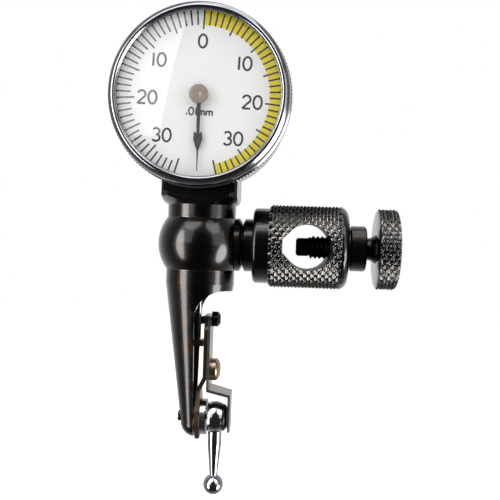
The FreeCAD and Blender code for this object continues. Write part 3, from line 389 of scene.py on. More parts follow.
@dataclass(frozen=True)
class Clear:
    """A clear moulded window: it shows what lies behind it and mirrors a bright room faintly."""

    name: str
    tint: str
    roughness: float
    ior: float

    def material(self) -> bpy.types.Material:
        """Builds the window's material, which lets light through without a caustic's noise.

        Returns:
            The material.
        """
        made = bpy.data.materials.new(self.name)
        made.use_nodes = True
        tree = made.node_tree
        tree.nodes.clear()
        place = add(tree, "ShaderNodeTexCoord", {}, {}).outputs["Object"]
        haze = add(tree, "ShaderNodeTexNoise", {"Scale": 1 / (2.5 * MM), "Detail": 3.0},
                   {"Vector": place})
        rough = add(tree, "ShaderNodeMapRange",
                    {"To Min": self.roughness, "To Max": self.roughness * 3},
                    {"Value": haze.outputs["Fac"]})
        shader = add(tree, "ShaderNodeBsdfPrincipled",
                     {"Base Color": srgb(self.tint), "IOR": self.ior, "Transmission Weight": 1.0},
                     {"Roughness": rough.outputs["Result"]})
        through = add(tree, "ShaderNodeBsdfTransparent", {"Color": srgb(self.tint)}, {})
        path = add(tree, "ShaderNodeLightPath", {}, {})
        lighting = add(tree, "ShaderNodeMath", {"operation": "MAXIMUM"},
                       {0: path.outputs["Is Shadow Ray"], 1: path.outputs["Is Diffuse Ray"]})
        mix = add(tree, "ShaderNodeMixShader", {},
                  {0: lighting.outputs["Value"], 1: shader.outputs["BSDF"],
                   2: through.outputs["BSDF"]})
        add(tree, "ShaderNodeOutputMaterial", {}, {"Surface": mix.outputs["Shader"]})
        return made


# Steel blackened in a hot salt bath and oiled: a deep grey-black film that still mirrors light.
BLACK_OXIDE = Finish("black_oxide_steel_polished", "#272627", "#33291f", 1.0, 0.26,
                     patch_size=2.6, grain_height=0.0022, coat=0.35, wear_and_highlight="#75695e",
                     wear_and_highlight_width=0.08)
# The same blackening over a rolled diamond knurl: darker, with crests painted lighter, partly
# rubbed bare and partly a painted highlight.
BLACK_KNURL = Finish("black_oxide_steel_knurled", "#232324", "#2c2824", 1.0, 0.24,
                     patch_size=1.0, grain_size=0.2, grain_height=0.002, coat=0.4,
                     wear_and_highlight="#8f8981", wear_and_highlight_width=0.12)
# The same film inside a drilled hole, painted near black and dull: painted shade for the inside of
# the bore.
BORE_PAINTED_SHADE = Finish("black_oxide_bored_painted_shade", "#0b0b0c", "#121213", 0.2, 0.55, grain_height=0.003)
# Chromium plate on a turned ring: mid grey, near mirror, with the faintest turning marks.
CHROME_RING = Finish("chrome_plate_turned", "#85878b", "#74767a", 1.0, 0.14,
                     rough_spread=0.05, grain_size=0.2, grain_height=0.0015)
# Chromium plate on the ground and polished stylus: a clean mirror with dark middle lines.
CHROME_STEM = Finish("chrome_plate_polished", "#939598", "#7f8184", 1.0, 0.14,
                     rough_spread=0.03, grain_size=0.3, grain_height=0.0008)
# White enamel paint on a stamped brass disc: flat, very slightly warm and uneven.
DIAL_ENAMEL = Finish("enamel_paint_white", "#f3f3f1", "#efefec", 0.0, 0.45,
                     patch_size=5.0, grain_size=0.3, grain_height=0.0012)
# Screen-printing ink on the enamel: flat and even, with no shine.
INK_BLACK = Finish("printing_ink_black", "#08080a", "#0d0d0f", 0.0, 0.5, grain_height=0.001)
INK_YELLOW = Finish("printing_ink_yellow", "#f1de1c", "#ecd713", 0.0, 0.5, grain_height=0.001)
# Bright turned steel of the arbors and rings: plain grey with a soft sheen.
STEEL_TURNED = Finish("steel_turned", "#9a9a9a", "#83817e", 1.0, 0.22, grain_height=0.002)
# A hand stamped from thin steel and painted matt black, so that it never mirrors the light.
HAND_PAINT = Finish("paint_matt_black", "#101012", "#18181a", 0.0, 0.42, grain_height=0.001)
# Nickel plate gone brownish with age: dull on the hub, and tan on the strap's screw.
NICKEL_WARM = Finish("nickel_plate_aged", "#94897d", "#7d7166", 1.0, 0.24, grain_height=0.002)
NICKEL_TAN = Finish("nickel_plate_tan", "#94826d", "#7a6853", 1.0, 0.3, patch_size=1.0,
                    grain_height=0.003)
# Milled and left bright: the warm yellow of the movement's frame.
BRASS = Finish("brass_milled", "#c8a455", "#b48f45", 1.0, 0.3, grain_height=0.002)
# Polished synthetic ruby: a deep red bead with a sharp glint.
RUBY = Finish("ruby_polished", "#a3142e", "#8a0f24", 0.0, 0.08, grain_height=0.0)
# Rolled and tempered bronze strip: a coppery thin line.
BRONZE_SPRING = Finish("bronze_strip_tempered", "#b88a5a", "#a3774a", 1.0, 0.25,
                       grain_height=0.001)
# Phosphor bronze bar, filed on its faces and dulled brown by handling.
BRONZE_BAR = Finish("phosphor_bronze_filed", "#6d5947", "#52443a", 0.9, 0.34, patch_size=1.2,
                    grain_size=0.1, grain_height=0.006, brushed=(1.0, 1.0, 0.15))
# Spring steel strip, rolled and tumbled: warm grey, streaked along it, bright at its edges.
STRAP_STEEL = Finish("spring_steel_tumbled", "#8a857b", "#6b6459", 0.9, 0.3, patch_size=1.4,
                     grain_height=0.004, brushed=(1.0, 1.0, 0.25), wear_and_highlight="#a79f94")
# Blackened washers and small screws: nearly black, and duller than the polished film.
WASHER_BLACK = Finish("black_oxide_washer", "#141415", "#1e1d1d", 0.6, 0.32)
SCREW_BLACK = Finish("black_oxide_thread", "#151516", "#201d1b", 1.0, 0.24, coat=0.2)
# Moulded clear acrylic: water-clear, with a faint uneven gloss.
ACRYLIC = Clear("acrylic_moulded_clear", "#fbfbfb", 0.015, 1.49)


@dataclass
class Finishes:
    """Every finish made once, under the frame's slot names and the scene's own."""

    made: dict[str, bpy.types.Material] = field(default_factory=dict)
    slots: dict[str, "Finish | Clear"] = field(default_factory=lambda: {
        "black_oxide_steel": BLACK_OXIDE,
        "black_knurled_steel": BLACK_KNURL,
        "bezel_chrome": CHROME_RING,
        "crystal_glass": ACRYLIC,
        "dial_white": DIAL_ENAMEL,
        "retainer_steel": STEEL_TURNED,
        "hand_black": HAND_PAINT,
        "hub_nickel": NICKEL_WARM,
        "arbor_steel": STEEL_TURNED,
        "movement_brass": BRASS,
        "jewel_ruby": RUBY,
        "spring_bronze": BRONZE_SPRING,
        "rocker_bronze": BRONZE_BAR,
        "strap_steel": STRAP_STEEL,
        "screw_nickel": NICKEL_TAN,
        "stylus_chrome": CHROME_STEM,
        "washer_black": WASHER_BLACK,
        "screw_steel": SCREW_BLACK,
        "bored_steel": BORE_PAINTED_SHADE,
        "ink_black": INK_BLACK,
        "ink_yellow": INK_YELLOW,
    })
    dulled: dict[str, str] = field(default_factory=lambda: {
        "swivel_washer": "washer_black",
        "lower_cock": "rocker_bronze",
    })

    def of(self, slot: str) -> bpy.types.Material:
        """The material for a slot, built the first time it is asked for."""
        if slot not in self.made:
            self.made[slot] = self.slots[slot].material()
        return self.made[slot]

    def dress_frame(self) -> None:
        """Gives every node its slot's finish, or a darker one for the nodes listed in dulled."""
        for name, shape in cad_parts.items():
            for place in shape.material_slots:
                slot = self.dulled.get(name, place.material.name.split(".")[0])
                place.material = self.of(slot)
            LOG.info("%s: dressed", name)


# ---- clamp ------------------------------------------------------------------------------


def diamonds(around: np.ndarray, along: np.ndarray, count: int, pitch: float) -> np.ndarray:
    """The height of a diamond knurl, from 0 in its grooves to 1 on its crests.

    Two triangle waves run round the piece in opposite twists, over count grooves a turn and
    one pitch along, and the lower of the two is the height.

    Args:
        around: angles in radians.
        along: places along the axis in millimetres.
        count: how many grooves one turn crosses.
        pitch: how far along the axis one groove repeats, in millimetres.

    Returns:
        The height at each place.
    """
    turn, lead = around * count / (2 * np.pi), along / pitch
    first = np.abs(((turn + lead) % 1.0) * 2 - 1)
    second = np.abs(((turn - lead) % 1.0) * 2 - 1)
    return np.minimum(np.minimum(first, second) * 1.08, 1.0)


@dataclass
class Clamp:
    """The knurled sleeve, the thumb screw's shank and its knurled knob."""

    finishes: Finishes
    sleeve_radius: float = 6.5
    sleeve_left: float = -6.0
    sleeve_right: float = 6.2
    sleeve_round: float = 1.5
    sleeve_chamfer: float = 0.4
    knurl_depth: float = 0.42
    knurl_count: int = 28
    knurl_pitch: float = 1.1
    bore_radius: float = 3.6
    vee_depth: float = 3.98
    thread_hole: float = 1.9
    stud_hole: float = 1.35
    nut_hole: float = 1.95
    nut_depth: float = 0.9
    collar_seat_radius: float = 2.9
    collar_seat_depth: float = 1.5
    flange_seat_radius: float = 2.6
    flange_seat_depth: float = 0.6
    drill_overrun: float = 1.0
    thread_radius: float = 1.87
    thread_pitch: float = 0.7
    thread_depth: float = 0.33
    dog_radius: float = 1.425
    tip: float = -1.83
    dog_length: float = 1.89
    thread_end: float = 8.2
    neck_radius: float = 1.7
    cone_start: float = 9.4
    knob_left: float = 10.6
    root_radius: float = 2.3
    knob_radius: float = 6.3
    knob_width: float = 3.2
    knob_dome: float = 0.25
    knob_knurl_count: int = 27

    def build(self) -> None:
        """Builds the clamp's dressed pieces in order."""
        self.sleeve()
        self.screw()
        self.knob()

    def sleeve(self) -> None:
        """The sleeve: a knurled cylinder with its cross bore and its thread hole cut out."""
        finish = self.finishes.of("black_knurled_steel")
        steps, columns = 12, self.knurl_count * 20
        start, end = self.sleeve_left + self.sleeve_chamfer, self.sleeve_right - self.sleeve_round
        rows = int(round((end - start) / self.knurl_pitch * steps)) + 1
        along = np.linspace(start, end, rows)
        arc = np.linspace(0.0, np.pi / 2, 10)[1:]
        corner = np.stack([end + self.sleeve_round * np.sin(arc),
                           self.sleeve_radius - self.sleeve_round * (1 - np.cos(arc))], axis=1)
        body = np.stack([along, np.full(rows, self.sleeve_radius)], axis=1)
        profile = np.vstack([
            [(self.sleeve_left, 0.0), (self.sleeve_left, self.sleeve_radius - self.sleeve_chamfer)],
            body, corner, [(self.sleeve_right, 0.0)]])
        angle = np.arange(columns) * 2 * np.pi / columns
        height = diamonds(angle[None, :], profile[:, 0:1], self.knurl_count, self.knurl_pitch)
        inside = (profile[:, 0] >= start - 1e-9) & (profile[:, 0] <= end + 0.45)
        inside &= profile[:, 1] > self.sleeve_radius - 0.4
        fade = np.clip((end + 0.4 - profile[:, 0]) / 0.5, 0.0, 1.0) * inside
        ripple = (height - 1.0) * self.knurl_depth * fade[:, None]
        solid = lathe(profile, Axis.X, (0.0, 0.0, 0.0), columns, ripple=ripple)
        shape = make_piece("knurled_sleeve", solid, Part.CLAMP, finish,
                           sharp=50.0, nodes=("clamp_sleeve",))
        before, past = self.sleeve_left - self.drill_overrun, self.sleeve_right + self.drill_overrun
        cutters = [self.bore_cutter(),
                   self.drill(0.0, past, self.thread_hole),
                   self.drill(self.sleeve_right - self.collar_seat_depth, past,
                              self.collar_seat_radius),
                   self.drill(before, self.sleeve_left + self.flange_seat_depth,
                              self.flange_seat_radius),
                   self.drill(before, 0.0, self.stud_hole),
                   self.drill(-self.vee_depth - self.nut_depth, 0.0, self.nut_hole)]
        # The cut faces take the bore finish, whose dark colour is painted shade.
        carve(shape, cutters, self.finishes.of("bored_steel"))

    def bore_cutter(self) -> Surface:
        """The cross bore's solid: a circle whose left side runs out to a flat by two tangents."""
        turn = np.linspace(-0.75 * np.pi, 0.75 * np.pi, 73)
        flat = self.bore_radius * np.sqrt(2) - self.vee_depth
        outline = np.vstack([np.stack([np.cos(turn), np.sin(turn)], axis=1) * self.bore_radius,
                             [(-self.vee_depth, flat), (-self.vee_depth, -flat)]])
        far = 2 * self.sleeve_radius
        rings = np.stack([np.insert(outline, 1, y, axis=1) for y in (-far, far)])
        count = len(outline)
        caps = [tuple(range(count)), tuple(range(count, 2 * count))]
        return Surface(rings.reshape(-1, 3), quad_faces(2, count, False, True) + caps)

    def drill(self, start: float, end: float, radius: float) -> Surface:
        """The solid that a drill of this radius takes out along the clamp's axis."""
        profile = np.array([(start, 0.0), (start, radius), (end, radius), (end, 0.0)])
        return lathe(profile, Axis.X, (0.0, 0.0, 0.0), 72)

    def screw(self) -> None:
        """The thumb screw's shank: a dog point, a cut thread and a smooth neck that flares.

        At x along it and u round it the thread's radius falls from its crest by the depth
        times a triangle wave of x / pitch - u / a full turn.
        """
        finish = self.finishes.of("screw_steel")
        columns = 72
        start = self.tip + self.dog_length
        run = np.linspace(start, self.thread_end, 320)
        near = [(self.tip, 0.0), (self.tip, self.dog_radius - 0.3),
                (self.tip + 0.3, self.dog_radius), (start - 0.01, self.dog_radius)]
        neck = [(self.thread_end + 0.05, self.neck_radius), (self.cone_start, self.neck_radius),
                (self.cone_start + 0.5, self.neck_radius + 0.12), (self.knob_left - 0.3, 2.12),
                (self.knob_left, self.root_radius), (self.knob_left, 0.0)]
        thread = np.stack([run, np.full(len(run), self.thread_radius)], axis=1)
        profile = np.vstack([near, thread, neck])
        angle = np.arange(columns) / columns
        wave = np.abs(((profile[:, 0:1] / self.thread_pitch - angle[None, :]) % 1.0) * 2 - 1)
        ends = np.minimum(profile[:, 0] - start, self.thread_end - profile[:, 0])
        depth = np.clip((1 - wave) * 1.25, 0.0, 1.0) * self.thread_depth
        fade = np.clip(ends / 0.1, 0.0, 1.0)
        lead = np.clip(1 - (profile[:, 0] - start) / 0.4, 0.0, 1.0) * (ends >= 0)
        drop = lead * (self.thread_radius - self.dog_radius) * 0.8
        ripple = -depth * fade[:, None] - drop[:, None]
        solid = lathe(profile, Axis.X, (0.0, 0.0, 0.0), columns, ripple=ripple)
        make_piece("thumb_screw_thread", solid, Part.SCREW, finish, sharp=40.0,
                   nodes=("thumb_screw",))

    def knob(self) -> None:
        """The knob: a disc with a domed face and a diamond knurl round its rim."""
        finish = self.finishes.of("black_knurled_steel")
        columns = self.knob_knurl_count * 20
        right = self.knob_left + self.knob_width
        rim = np.linspace(self.knob_left + 0.2, right - 0.2, 40)
        ray = np.linspace(1.0, 0.0, 12)
        dome = np.stack([right + self.knob_dome * (1 - ray ** 2),
                         ray * (self.knob_radius - 0.55)], axis=1)
        profile = np.vstack([
            [(self.knob_left, 0.0), (self.knob_left, self.knob_radius - 0.6),
             (self.knob_left + 0.05, self.knob_radius - 0.42),
             (self.knob_left + 0.14, self.knob_radius - 0.3)],
            np.stack([rim, np.full(len(rim), self.knob_radius)], axis=1),
            [(right - 0.14, self.knob_radius - 0.3),
             (right - 0.05, self.knob_radius - 0.42)], dome])
        angle = np.arange(columns) * 2 * np.pi / columns
        height = diamonds(angle[None, :], profile[:, 0:1], self.knob_knurl_count, self.knurl_pitch)
        fade = (profile[:, 1] > self.knob_radius - 0.05)[:, None]
        ripple = (height - 1.0) * self.knurl_depth * fade
        solid = lathe(profile, Axis.X, (0.0, 0.0, 0.0), columns, ripple=ripple)
        make_piece("knurled_knob", solid, Part.SCREW, finish, sharp=50.0,
                   nodes=("thumb_knob",))


def carve(shape: bpy.types.Object, cutters: list[Surface], finish: bpy.types.Material) -> None:
    """Cuts solids out of a piece and keeps the result as the piece's mesh.

    Args:
        shape: the piece to cut.
        cutters: the solids to take out, in millimetres.
        finish: the material of the faces that the cuts leave.
    """
    for number, cutter in enumerate(cutters):
        mesh = bpy.data.meshes.new(f"cut_{number}")
        mesh.from_pydata(cutter.points * MM, [], cutter.faces)
        tidy_mesh(mesh, 30.0)
        mesh.materials.append(finish)
        tool = bpy.data.objects.new(f"cut_{number}", mesh)
        bpy.context.scene.collection.objects.link(tool)
        cut = shape.modifiers.new("cut", "BOOLEAN")
        cut.operation, cut.object, cut.solver = "DIFFERENCE", tool, "EXACT"
        cut.material_mode = "TRANSFER"
        graph = bpy.context.evaluated_depsgraph_get()
        graph.update()
        result = bpy.data.meshes.new_from_object(shape.evaluated_get(graph))
        shape.modifiers.clear()
        bpy.data.objects.remove(tool)
        shape.data = result
    shape.data.polygons.foreach_set("use_smooth", np.ones(len(shape.data.polygons), dtype=bool))
    shape.data.set_sharp_from_angle(angle=np.radians(45.0))
    LOG.info("%s: cut to %d faces", shape.name, len(shape.data.polygons))


# ---- dial -------------------------------------------------------------------------------


class Figure(Enum):
    """The few strokes that the dial's figures and its graduation mark need."""

    ZERO = "0"
    ONE = "1"
    TWO = "2"
    THREE = "3"
    DOT = "."
    EM = "m"


def arc_points(x: float, z: float, wide: float, high: float, start: float, end: float,
               steps: int = 18) -> np.ndarray:
    """Points on an ellipse, at (x + wide cos u, z + high sin u) for u from start to end degrees."""
    turn = np.radians(np.linspace(start, end, steps))
    return np.stack([x + wide * np.cos(turn), z + high * np.sin(turn)], axis=1)


def strokes(figure: Figure) -> list[np.ndarray]:
    """The centre lines of a figure, one unit high, standing on zero and starting at x = 0."""
    if figure is Figure.ZERO:
        return [arc_points(0.32, 0.5, 0.32, 0.5, 0, 360, 33)]
    if figure is Figure.ONE:
        return [np.array([(0.1, 0.0), (0.1, 1.0)])]
    if figure is Figure.TWO:
        bowl = arc_points(0.3, 0.7, 0.3, 0.3, 165, -35, 18)
        return [np.vstack([bowl, [(0.3, 0.32), (0.0, 0.0)]]), np.array([(0.0, 0.0), (0.62, 0.0)])]
    if figure is Figure.THREE:
        return [arc_points(0.28, 0.75, 0.26, 0.25, 150, -90, 16),
                arc_points(0.28, 0.26, 0.3, 0.26, 90, -150, 18)]
    if figure is Figure.DOT:
        return [np.array([(0.0, 0.0), (0.0, 0.24)])]
    return [np.array([(0.0, 0.0), (0.0, 0.62)]),
            np.vstack([arc_points(0.2, 0.42, 0.2, 0.2, 180, 0, 10), [(0.4, 0.0)]]),
            np.vstack([arc_points(0.6, 0.42, 0.2, 0.2, 180, 0, 10), [(0.8, 0.0)]])]


WIDTHS = {Figure.ZERO: 0.64, Figure.ONE: 0.2, Figure.TWO: 0.62, Figure.THREE: 0.58,
          Figure.DOT: 0.05, Figure.EM: 0.8}


@dataclass
class Dial:
    """The printed plate, the hand's hub, the bezel ring and the crystal over them."""

    finishes: Finishes
    centre_x: float = -16.8
    centre_z: float = 21.9
    plate_front: float = -7.0
    print_height: float = 0.012
    print_tilt: float = -1.7
    divisions: int = 35
    division_angle: float = 4.71
    tick_outer: float = 12.62
    tick_inner: float = 10.3
    long_tick_inner: float = 9.7
    tick_width: float = 0.24
    band_inner: float = 10.32
    band_outer: float = 12.6
    figure_height: float = 1.9
    stroke_width: float = 0.31
    bezel_radius: float = 13.7
    bezel_teeth: int = 150

    def build(self) -> None:
        """Builds the dial's dressed pieces in order."""
        self.yellow_band()
        self.graduations()
        self.figures()
        self.bezel()
        self.crystal()
        self.hub()

    def turned(self, points: np.ndarray) -> np.ndarray:
        """Points of the plate turned by the print's tilt and put at the dial's centre."""
        tilt = np.radians(self.print_tilt)
        spin = np.array([(np.cos(tilt), np.sin(tilt)), (-np.sin(tilt), np.cos(tilt))])
        return points @ spin + np.array((self.centre_x, self.centre_z))

    def at_angle(self, radius: "float | np.ndarray", degrees: "float | np.ndarray") -> np.ndarray:
        """Where a radius and a clockwise angle from the top lie on the plate."""
        turn = np.radians(degrees)
        return np.stack([radius * np.sin(turn), radius * np.cos(turn)], axis=-1)

    def printed(self, name: str, surface: Surface, ink: str) -> None:
        """Lays a printed layer on the plate."""
        make_piece(name, surface, Part.BEZEL, self.finishes.of(ink))

    def yellow_band(self) -> None:
        """The yellow sector: a ribbon as wide as the band, bent along its middle circle."""
        middle, width = (self.band_inner + self.band_outer) / 2, self.band_outer - self.band_inner
        sweep = np.linspace(0.4, self.divisions * self.division_angle, 121)
        path = self.turned(self.at_angle(middle, sweep))
        layer = ribbon(path, width, self.plate_front - self.print_height, self.plate_front + 0.05)
        self.printed("dial_yellow_band", layer, "ink_yellow")

    def graduations(self) -> None:
        """The lines round the plate, thirty-five each way from the top, every fifth longer."""
        layer = None
        for number in range(-self.divisions, self.divisions + 1):
            long_one = number % 5 == 0
            inner = self.long_tick_inner if long_one else self.tick_inner
            line = self.turned(self.at_angle(np.array((inner, self.tick_outer)),
                                             number * self.division_angle))
            bar = ribbon(line, self.tick_width, self.plate_front - 2 * self.print_height,
                         self.plate_front + 0.05)
            layer = bar if layer is None else layer.joined(bar)
        self.printed("dial_graduations", layer, "ink_black")

    def word(self, text: str, centre: np.ndarray, height: float, stroke: float,
             gap: float) -> Surface:
        """A row of figures set upright about a point of the plate.

        Args:
            text: the figures.
            centre: where the row's middle lies, from the dial's centre.
            height: the figures' height.
            stroke: the width of their strokes.
            gap: the space between two figures, as a share of the height.

        Returns:
            All the strokes as one surface.
        """
        row = [Figure(letter) for letter in text]
        width = sum(WIDTHS[figure] for figure in row) + gap * (len(row) - 1)
        pen, layer = -width / 2, None
        for figure in row:
            for line in strokes(figure):
                shape = (line + np.array((pen, -0.5))) * height + centre
                bar = ribbon(self.turned(shape), stroke, self.plate_front - 2 * self.print_height,
                             self.plate_front + 0.05)
                layer = bar if layer is None else layer.joined(bar)
            pen += WIDTHS[figure] + gap
        return layer

    def figures(self) -> None:
        """The figures 0 to 30 each way, and the graduation's value under the hub."""
        layer = self.word("0", np.array((0.0, 7.97)), self.figure_height, self.stroke_width, 0.2)
        for label, across, up in (("10", 6.34, 4.98), ("20", 7.78, -0.6), ("30", 5.3, -6.05)):
            for side in (-1, 1):
                place = np.array((side * across, up))
                layer = layer.joined(self.word(label, place, self.figure_height,
                                               self.stroke_width, 0.22))
        value = self.word(".01mm", np.array((0.1, -2.35)), 1.08, 0.22, 0.26)
        self.printed("dial_figures", layer.joined(value), "ink_black")

    def bezel(self) -> None:
        """The ring that holds the crystal: a rolled lip, a turned step and a serrated rim."""
        lip, step = 12.0, self.bezel_radius - 0.28
        corners = [(-5.1, 12.72), (-6.6, 12.72), (-6.6, 12.95), (-8.65, 12.95), (-8.65, lip),
                   (-8.95, lip), (-9.35, lip + 0.32), (-9.35, lip + 0.68), (-8.85, step - 0.12),
                   (-8.3, step), (-7.75, step), (-7.6, step - 0.14), (-7.3, step - 0.14),
                   (-7.1, self.bezel_radius - 0.14), (-6.95, self.bezel_radius),
                   (-5.3, self.bezel_radius), (-5.1, self.bezel_radius - 0.16)]
        reach = [0.04, 0.0, 0.0, 0.0, 0.0, 0.12, 0.15, 0.14, 0.2, 0.12, 0.05, 0.05, 0.05, 0.04,
                 0.05, 0.05, 0.04]
        profile = eased(corners, reach, closed=True)
        columns = self.bezel_teeth * 6
        angle = np.arange(columns) * self.bezel_teeth / columns
        wave = np.abs((angle % 1.0) * 2 - 1)[None, :]
        on_rim = (profile[:, 1] > self.bezel_radius - 0.06) & (profile[:, 0] > -7.05)
        ripple = -0.24 * np.clip(wave * 1.6 - 0.3, 0.0, 1.0) * on_rim[:, None]
        centre = (self.centre_x, 0.0, self.centre_z)
        ring = lathe(profile, Axis.Y, centre, columns, closed=True, ripple=ripple)
        make_piece("bezel_ring", ring, Part.BEZEL, self.finishes.of("bezel_chrome"),
                   sharp=40.0, nodes=("bezel",))

    def crystal(self) -> None:
        """The domed window: a flat flange in the bezel and a shallow dome inside the opening."""
        edge, rise, back, thick = 11.95, 0.95, -8.05, 0.6
        ray = np.linspace(0.0, 1.0, 25)
        front = np.stack([back - thick - rise * (1 - ray ** 2), ray * edge], axis=1)
        rear = np.stack([back - rise * (1 - ray[::-1] ** 2), ray[::-1] * edge], axis=1)
        profile = np.vstack([front, [(back - thick, 12.93), (back, 12.93)], rear])
        window = lathe(profile, Axis.Y, (self.centre_x, 0.0, self.centre_z), 160)
        make_piece("crystal_window", window, Part.BEZEL, self.finishes.of("crystal_glass"),
                   sharp=30.0, nodes=("crystal",))

    def hub(self) -> None:
        """The hand's hub: a turned button with a rounded rim and a centre dimple."""
        corners = [(-7.88, 0.36), (-7.88, 1.4), (-8.4, 1.4), (-8.5, 1.28), (-8.5, 0.34),
                   (-8.33, 0.0)]
        profile = eased(corners, [0, 0.02, 0.08, 0.06, 0.08, 0], closed=False)
        profile = np.vstack([[(-7.88, 0.0)], profile])
        button = lathe(profile, Axis.Y, (self.centre_x, 0.0, self.centre_z), 96)
        make_piece("hand_hub_button", button, Part.HAND, self.finishes.of("hub_nickel"),
                   nodes=("hand_hub",))


# ---- studio -----------------------------------------------------------------------------


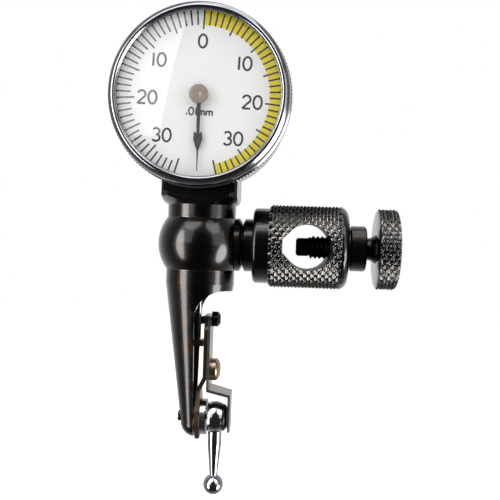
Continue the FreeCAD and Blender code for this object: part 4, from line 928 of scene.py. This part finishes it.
@dataclass
class Studio:
    """The floor, the world's light, the lamps and the camera."""

    camera_place: tuple[float, float, float] = (-3.2, -105.8, 1.24)
    yaw: float = 3.15
    pitch: float = -1.08
    roll: float = 1.88
    lens: float = 48.25
    floor_height: float = -42.0
    floor_reach: float = 260.0
    cards: tuple[tuple[tuple[float, float, float], float, float, float], ...] = (
        ((-0.77, -0.62, -0.02), 0.972, 12.0, 0.3),
        ((0.9, -0.36, -0.26), 0.955, 15.0, 0.6),
        ((0.55, -0.5, 0.75), 0.94, 5.0, 1.0),
        ((-0.3, -0.5, 0.85), 0.92, 5.0, 1.0),
    )

    lamps: tuple[tuple[str, tuple[float, float, float], float, float], ...] = (
        ("left_softbox", (-150.0, -170.0, 90.0), 170.0, 0.2),
        ("right_softbox", (170.0, -130.0, 60.0), 150.0, 0.14),
        ("top_softbox", (10.0, -40.0, 210.0), 150.0, 0.16),
    )
    lamp_target: tuple[float, float, float] = (-8.0, 0.0, -1.0)
    world_light: float = 0.55
    floor_glow: float = 0.62

    def build(self) -> None:
        """Sets up everything that isn't the object."""
        scene = bpy.context.scene
        scene.view_settings.view_transform = "Standard"
        self.world(scene)
        self.floor()
        for name, place, size, power in self.lamps:
            self.lamp(name, place, size, power)
        self.camera(scene)

    def world(self, scene: bpy.types.Scene) -> None:
        """The world: three levels, told apart by the kind of ray.

        The camera, and rays that have come through glass, see white. Mirrors see a room that
        is dark behind the camera and bright behind the object, with soft cards in it. All else
        is lit by a soft grey.

        Args:
            scene: the scene that gets the world.
        """
        world = bpy.data.worlds.new("studio_world")
        world.use_nodes = True
        scene.world = world
        tree = world.node_tree
        tree.nodes.clear()
        path = add(tree, "ShaderNodeLightPath", {}, {})
        place = add(tree, "ShaderNodeTexCoord", {}, {})
        parts = add(tree, "ShaderNodeSeparateXYZ", {}, {"Vector": place.outputs["Generated"]})
        behind = add(tree, "ShaderNodeMapRange",
                     {"From Min": -0.35, "From Max": 0.65, "To Min": 0.05, "To Max": 0.95},
                     {"Value": parts.outputs["Y"]}).outputs["Result"]
        for towards, width, power, upright in self.cards:
            tall = add(tree, "ShaderNodeVectorMath",
                       {"operation": "MULTIPLY", 1: (1.0, 1.0, upright)},
                       {0: place.outputs["Generated"]})
            view = add(tree, "ShaderNodeVectorMath", {"operation": "NORMALIZE"},
                       {0: tall.outputs["Vector"]})
            behind = self.card(tree, view.outputs["Vector"], behind, towards, width, power)
        room = add(tree, "ShaderNodeBackground", {"Color": srgb("#ffffff")}, {"Strength": behind})
        light = add(tree, "ShaderNodeBackground",
                    {"Color": srgb("#ffffff"), "Strength": self.world_light}, {})
        white = add(tree, "ShaderNodeBackground", {"Color": srgb("#ffffff"), "Strength": 1.0}, {})
        mirrored = add(tree, "ShaderNodeMixShader", {},
                       {0: path.outputs["Is Glossy Ray"], 1: light.outputs["Background"],
                        2: room.outputs["Background"]})
        seen = add(tree, "ShaderNodeMath", {"operation": "MAXIMUM"},
                   {0: path.outputs["Is Camera Ray"], 1: path.outputs["Is Transmission Ray"]})
        whole = add(tree, "ShaderNodeMixShader", {},
                    {0: seen.outputs["Value"], 1: mirrored.outputs["Shader"],
                     2: white.outputs["Background"]})
        add(tree, "ShaderNodeOutputWorld", {}, {"Surface": whole.outputs["Shader"]})

    def card(self, tree: bpy.types.NodeTree, view: bpy.types.NodeSocket,
             behind: bpy.types.NodeSocket, towards: tuple[float, float, float], width: float,
             power: float) -> bpy.types.NodeSocket:
        """Adds a soft bright card, which only mirrors see, to the world.

        Its brightness rises from its edge to its middle with the cosine of the angle between
        the view and the card's direction.

        Args:
            tree: the world's nodes.
            view: the direction being looked in.
            behind: the brightness so far.
            towards: the card's direction.
            width: the cosine at the card's edge.
            power: the brightness at its middle.

        Returns:
            The brightness with the card in it.
        """
        aim = np.asarray(towards) / np.linalg.norm(towards)
        cosine = add(tree, "ShaderNodeVectorMath", {"operation": "DOT_PRODUCT", 1: aim.tolist()},
                     {0: view})
        glow = add(tree, "ShaderNodeMapRange",
                   {"interpolation_type": "SMOOTHSTEP", "From Min": width,
                    "From Max": width + (1 - width) * 0.55, "To Max": power},
                   {"Value": cosine.outputs["Value"]})
        return add(tree, "ShaderNodeMath", {"operation": "ADD"},
                   {0: behind, 1: glow.outputs["Result"]}).outputs["Value"]

    def floor(self) -> None:
        """A wide pale floor that takes the object's shadow and otherwise shows white."""
        reach = self.floor_reach
        points = np.array([(-reach, -reach, self.floor_height), (reach, -reach, self.floor_height),
                           (reach, reach, self.floor_height), (-reach, reach, self.floor_height)])
        mesh = bpy.data.meshes.new("floor")
        mesh.from_pydata(points * MM, [], [(0, 1, 2, 3)])
        made = bpy.data.materials.new("floor_paper_white")
        made.use_nodes = True
        tree = made.node_tree
        tree.nodes.clear()
        path = add(tree, "ShaderNodeLightPath", {}, {})
        first = add(tree, "ShaderNodeMath", {"operation": "MAXIMUM"},
                    {0: path.outputs["Is Camera Ray"], 1: path.outputs["Is Glossy Ray"]})
        seen = add(tree, "ShaderNodeMath", {"operation": "MAXIMUM"},
                   {0: first.outputs["Value"], 1: path.outputs["Is Transmission Ray"]})
        glow = add(tree, "ShaderNodeMapRange", {"To Min": 0.0, "To Max": self.floor_glow},
                   {"Value": seen.outputs["Value"]})
        paper = add(tree, "ShaderNodeBsdfDiffuse", {"Color": srgb("#f4f4f4")}, {})
        shine = add(tree, "ShaderNodeEmission", {"Color": srgb("#ffffff")},
                    {"Strength": glow.outputs["Result"]})
        both = add(tree, "ShaderNodeAddShader", {},
                   {0: paper.outputs["BSDF"], 1: shine.outputs["Emission"]})
        add(tree, "ShaderNodeOutputMaterial", {}, {"Surface": both.outputs["Shader"]})
        mesh.materials.append(made)
        sheet = bpy.data.objects.new("floor", mesh)
        bpy.context.scene.collection.objects.link(sheet)
        sheet.visible_glossy = False

    def lamp(self, name: str, place: tuple[float, float, float], size: float, power: float) -> None:
        """A square softbox that faces the object's middle.

        Args:
            name: the lamp's name.
            place: where it stands, in millimetres.
            size: the length of its side, in millimetres.
            power: its power in watts.
        """
        light = bpy.data.lights.new(name, "AREA")
        light.shape, light.size, light.energy = "SQUARE", size * MM, power
        lamp = bpy.data.objects.new(name, light)
        lamp.location = Vector(place) * MM
        aim = Vector(self.lamp_target) * MM - lamp.location
        lamp.rotation_euler = aim.to_track_quat("-Z", "Y").to_euler()
        bpy.context.scene.collection.objects.link(lamp)

    def camera(self, scene: bpy.types.Scene) -> None:
        """The camera: it looks along +Y, turned by its yaw, pitch and roll.

        Args:
            scene: the scene that gets the camera.
        """
        sight = bpy.data.cameras.new("camera")
        sight.lens, sight.sensor_width, sight.clip_start = self.lens, 36.0, 0.005
        eye = bpy.data.objects.new("camera", sight)
        turn = (Matrix.Rotation(np.radians(self.yaw), 4, "Z")
                @ Matrix.Rotation(np.radians(90.0 + self.pitch), 4, "X")
                @ Matrix.Rotation(np.radians(self.roll), 4, "Z"))
        eye.matrix_world = Matrix.Translation(Vector(self.camera_place) * MM) @ turn
        scene.collection.objects.link(eye)
        scene.camera = eye


def main() -> None:
    """Builds the studio and every dressed piece."""
    logging.basicConfig(level=logging.INFO, format="%(message)s")
    Studio().build()
    finishes = Finishes()
    finishes.dress_frame()
    Clamp(finishes).build()
    Dial(finishes).build()


if __name__ == "__main__":
    main()
